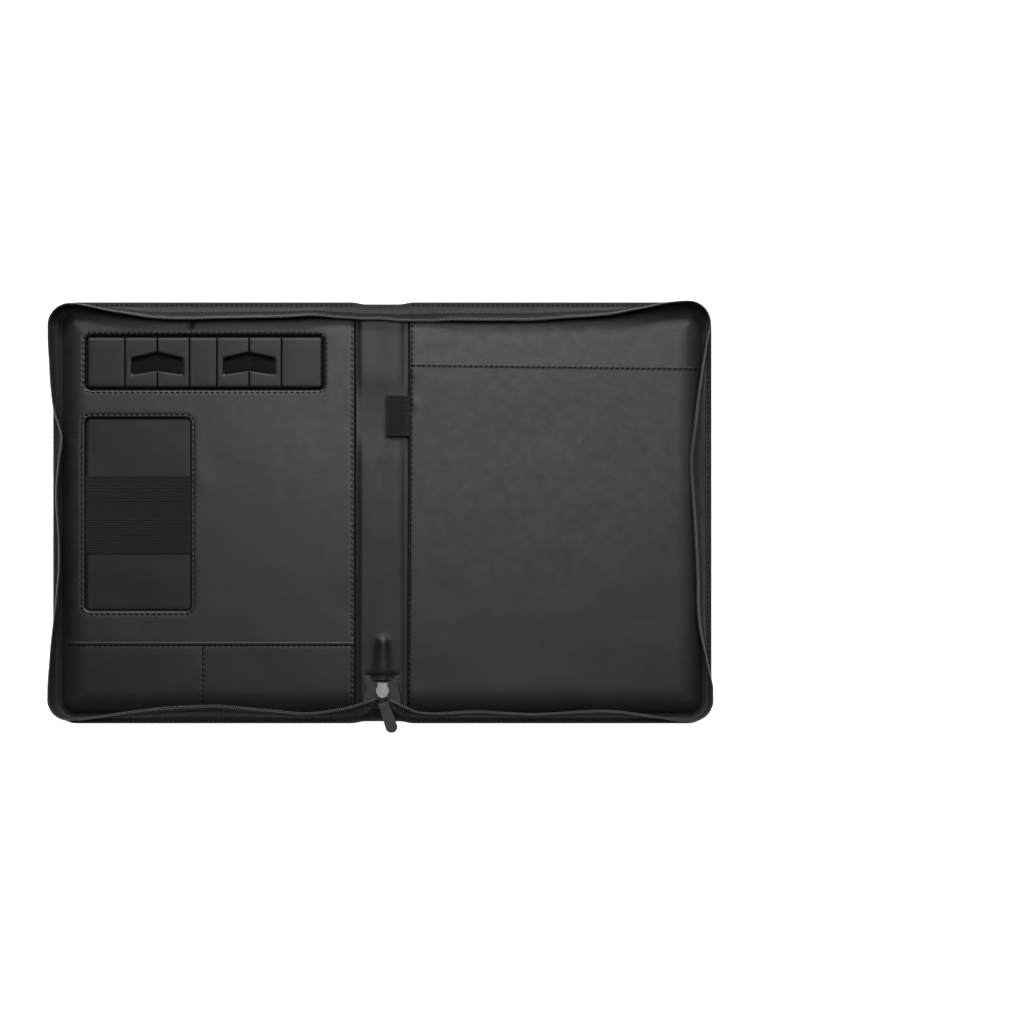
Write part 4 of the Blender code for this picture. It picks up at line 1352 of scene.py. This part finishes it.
def pen_ring(low_x, top_z, wall, tail, shoulder):
    """One face of the loop seen along it: nose, underside, tail and top, from a point hidden at the seam."""
    radius = (top_z - PEN_LOW_Z) / 2
    half_turn = [math.pi / 2 + i * math.pi / 12 for i in range(13)]
    nose_x, nose_z, bend = low_x + radius, PEN_LOW_Z + radius, radius - wall
    ring = [(nose_x + bend * math.cos(a), nose_z + bend * math.sin(a)) for a in half_turn]
    ring += [(x, PEN_LOW_Z + wall) for x in (8, 12, 16)]
    ring += [(x, PEN_LOW_Z + rise) for x, rise in tail]
    ring += [(shoulder[0], top_z - shoulder[1])] + [(x, top_z - wall) for x in (16.4, 12, 9)]
    return ring[PEN_HIDDEN_POINT:] + ring[:PEN_HIDDEN_POINT]


def tube_faces(count, rows):
    """Faces of an open tube with a wall; each row has count outer points, then count inner ones."""
    size = 2 * count
    faces = []
    for a in range(0, (rows - 1) * size, size):
        b = a + size
        for i in range(count):
            j = (i + 1) % count
            faces.append((a + i, b + i, b + j, a + j))
            faces.append((a + count + i, a + count + j, b + count + j, b + count + i))
    for base, flip in ((0, False), ((rows - 1) * size, True)):
        for i in range(count):
            j = (i + 1) % count
            quad = (base + i, base + j, base + count + j, base + count + i)
            faces.append(quad[::-1] if flip else quad)
    return faces


def add_pen_loop(surfaces):
    """Flattened tube of ribbed elastic; its tail is sewn in at the right panel's edge."""
    low, high = cad_box("pen_loop")
    outer, inner = (pen_ring(low.x, high.z, *shape) for shape in zip((0, PEN_WALL), PEN_TAILS, PEN_SHOULDERS))
    lengths = np.concatenate(([0], np.cumsum([math.dist(a, b) for a, b in zip(outer, outer[1:])])))
    middle = np.array((11.5, PEN_LOW_Z + (high.z - PEN_LOW_Z) / 2))
    ys = np.arange(low.y, high.y + 0.01, PEN_RIB_PITCH / 5)
    points, cloth = [], []
    for y in ys:
        ridge = ribs(np.array(y - low.y), PEN_RIB_PITCH, PEN_RIB) - PEN_RIB / 2
        for ring, sign in ((outer, 1), (inner, 0.5)):
            for (x, z), reach in zip(ring, lengths):
                out = np.array((x, z)) - middle
                out /= np.hypot(*out)
                points.append((x + out[0] * ridge * sign, y, z + out[1] * ridge * sign))
                cloth.append((reach, y))
    faces = tube_faces(len(outer), len(ys))
    made = mesh_piece("pen_loop_elastic", points, faces, surfaces["elastic"], 70, cloth)
    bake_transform(made)
    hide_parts("pen_loop")


# ---------------------------------------------------------------- slider and puller

FLAP_ANGLE = math.radians(10.204)
SLIDER_X, SLIDER_Y = 0.85, -150.2
PULLER_TILT, PULLER_DROOP = math.radians(16.6), math.radians(19.0)
SLIDER_HALF, SLIDER_LEVELS = 5.15, (0.32, 4.28)
# Along the slider's body: (place, share of its full width)
SLIDER_SECTIONS = ((-5.8, 0.82), (-5.3, 0.96), (-4.2, 1.0), (0, 1.08), (4.2, 1.0), (5.3, 0.94), (5.8, 0.8))


def slider_place():
    """Frame on the flap's face under the slider: x across, y down the slope to the lining, z off the face."""
    rise = FLAP_FACE_Z + (FLAP_LEVEL_Y - SLIDER_Y) * math.tan(FLAP_ANGLE)
    return Matrix.Translation(Vector((SLIDER_X, SLIDER_Y, rise)) * MM) @ Matrix.Rotation(-FLAP_ANGLE, 4, "X")


def slider_section(y, share):
    """Section of the slider's body: two plates with lips, joined by a web."""
    half, lip, web, bevel = SLIDER_HALF * share, 1.0, 1.2, 0.3
    low, high = SLIDER_LEVELS
    right = [(half - bevel, low), (half, low + bevel), (half, low + lip), (web, low + lip),
             (web, high - lip), (half, high - lip), (half, high - bevel), (half - bevel, high)]
    left = [(-x, z) for x, z in reversed(right)]
    return [(x, y, z) for x, z in reversed(left[-1:] + right + left[:-1])]


def add_slider(surfaces):
    """Shield-shaped cap on its leg over the cast slider body."""
    place = slider_place()
    half = ((-4.25, 6.6, 0.5), (-4.3, 3.3, 0.8), (-5.8, 0.9, 1.6), (-5.5, -2.0, 1.6), (-3.6, -4.9, 1.2),
            (0, -6.8, 1.5))
    corners = list(half) + [(-x, y, r) for x, y, r in reversed(half[:-1])]
    outline = spaced_loop(filleted(corners, 0.35), 0.5)
    cap_low, cap_top, leg_low = 5.9, 7.1, 4.65

    def heights(x, y):
        depth = distance_to(grid_of(x, y), outline)
        upper = cap_top - rolled(depth, 0.55, 0.5) - 0.1 * smooth(0.9, 1.2, depth)
        upper += 0.1 * np.exp(-((x / 2.2) ** 2)) * smooth(1.3, 2.2, depth)
        leg = (np.abs(x) < 2.5) & (y > 3.4) & (y < 5.6)
        return upper, np.where(leg, leg_low, cap_low + 0.35 * np.clip(1 - depth / 0.5, 0, 1))

    leg_rows = [[(x, y) for x in np.linspace(-2.6, 2.6, 14)] for y in (3.3, 3.45, 5.55, 5.7)]
    made = closed_sheet("slider_cap_shield", outline, (), heights, surfaces["cap"], 0.6,
                        (0.15, 0.3, 0.5, 0.95, 1.2, 1.5), leg_rows, 35)
    made.data.transform(place)
    fit_piece(made, "slider", replaces=("slider_cap",))

    sections = [slider_section(y, share) for y, share in SLIDER_SECTIONS]
    made = swept("slider_body_cast", sections, surfaces["metal"], smooth_angle=35)
    made.data.transform(place)
    fit_piece(made, "slider", replaces=("slider_body",))


def add_puller(surfaces):
    """Wire eye and coated tab, hanging from the slider's cap."""
    pivot = next(Vector(j["pos_m"]) for j in frame["joints"] if j["name"] == "puller_swing")
    place = Matrix.Translation(pivot) @ Matrix.Rotation(PULLER_TILT, 4, "Z")
    place = place @ Matrix.Rotation(PULLER_DROOP, 4, "X")

    eye = filleted(((-2.25, 0.05, 0.6), (2.25, 0.05, 0.6), (2.25, -1.6, 0.8), (-2.25, -1.6, 0.8)), 0.3)
    eye = np.array([(x, y, 0.0) for x, y in spaced_loop(eye, 0.3)])
    eye = np.concatenate((eye, eye[:2]))
    centre = np.tile(np.array((0.0, -0.8, 0.0)), (len(eye), 1))
    made = wire_tube("puller_link_wire", eye, centre, 0.42, surfaces["metal"])
    made.data.transform(place)
    fit_piece(made, "puller", replaces=("puller_link",))

    near, far, start, length = 4.3, 5.0, 2.3, 28.4
    end = -start - length
    arc = [(far * math.cos(a), end + far + far * math.sin(a)) for a in np.linspace(math.pi, 2 * math.pi, 25)]
    outline = spaced_loop([(near, -start), (-near, -start)] + arc, 0.8)
    fold_y = -7.4

    def heights(x, y):
        depth = distance_to(grid_of(x, y), outline)
        fold = 0.3 * smooth(fold_y - 0.1, fold_y + 0.15, y)
        crown = 0.15 * smooth(0.5, 4, depth)
        rise = 0.55 + fold + crown - rolled(depth, 0.7, 0.4)
        return rise, -0.75 - 0.5 * fold + rolled(depth, 0.7, 0.4)

    fold_rows = [[(x, fold_y + dy) for x in np.arange(-4.6, 4.7, 0.5)] for dy in (-0.2, -0.05, 0.1, 0.3)]
    made = closed_sheet("puller_tab_coated", outline, (), heights, surfaces["puller"], 1.0,
                        (0.2, 0.45, 0.8, 1.4), fold_rows, 40)
    made.data.transform(place)
    fit_piece(made, "puller", replaces=("puller_tab",))


# ---------------------------------------------------------------- floor, light and camera


def area_light(name, location, size, power):
    """A soft box aimed at the middle of the spine."""
    data = bpy.data.lights.new(name, "AREA")
    data.shape = "RECTANGLE"
    data.size, data.size_y = size
    data.energy = power
    made = bpy.data.objects.new(name, data)
    made.location = location
    made.rotation_euler = (-Vector(location)).to_track_quat("-Z", "Y").to_euler()
    bpy.context.scene.collection.objects.link(made)


def set_stage():
    """Pale floor, two soft boxes, dim fill and the camera above the case."""
    floor = bpy.data.meshes.new("studio_floor")
    reach, level = 6.0, -0.0004
    corners = [(x * reach, y * reach, level) for x, y in ((-1, -1), (1, -1), (1, 1), (-1, 1))]
    floor.from_pydata(corners, [], [(0, 1, 2, 3)])
    floor.materials.append(pale_floor())
    made = bpy.data.objects.new("studio_floor", floor)
    bpy.context.scene.collection.objects.link(made)

    area_light("key_softbox", (-0.1, 1.2, 1.0), (1.5, 0.4), 30)
    area_light("top_softbox", (0.08, 0.47, 2.4), (1.1, 0.78), 23)
    world = bpy.data.worlds.new("studio")
    world.use_nodes = True
    world.node_tree.nodes["Background"].inputs["Color"].default_value = (1, 1, 1, 1)
    world.node_tree.nodes["Background"].inputs["Strength"].default_value = 0.05
    bpy.context.scene.world = world
    bpy.context.scene.view_settings.view_transform = "Standard"

    data = bpy.data.cameras.new("photo_camera")
    data.sensor_width = 36
    data.lens = 62.43
    camera = bpy.data.objects.new("photo_camera", data)
    camera.location = (0.1093, 0.0006, 1.5)
    bpy.context.scene.collection.objects.link(camera)
    bpy.context.scene.camera = camera


def main():
    """Stages the scene and dresses every sub-part."""
    set_stage()
    surfaces = make_surfaces()
    for side in (1, -1):
        add_skin(side, surfaces)
        add_zip_wall(side, surfaces)
    dress_boards(surfaces)
    add_right_panel(surfaces)
    add_left_panel(surfaces)
    add_recess_floors(surfaces)
    add_phone_elastic(surfaces)
    add_stand(surfaces)
    add_spine_lining(surfaces)
    add_zip_end(surfaces)
    add_bottom_gusset(surfaces)
    add_pen_loop(surfaces)
    add_slider(surfaces)
    add_puller(surfaces)


main()
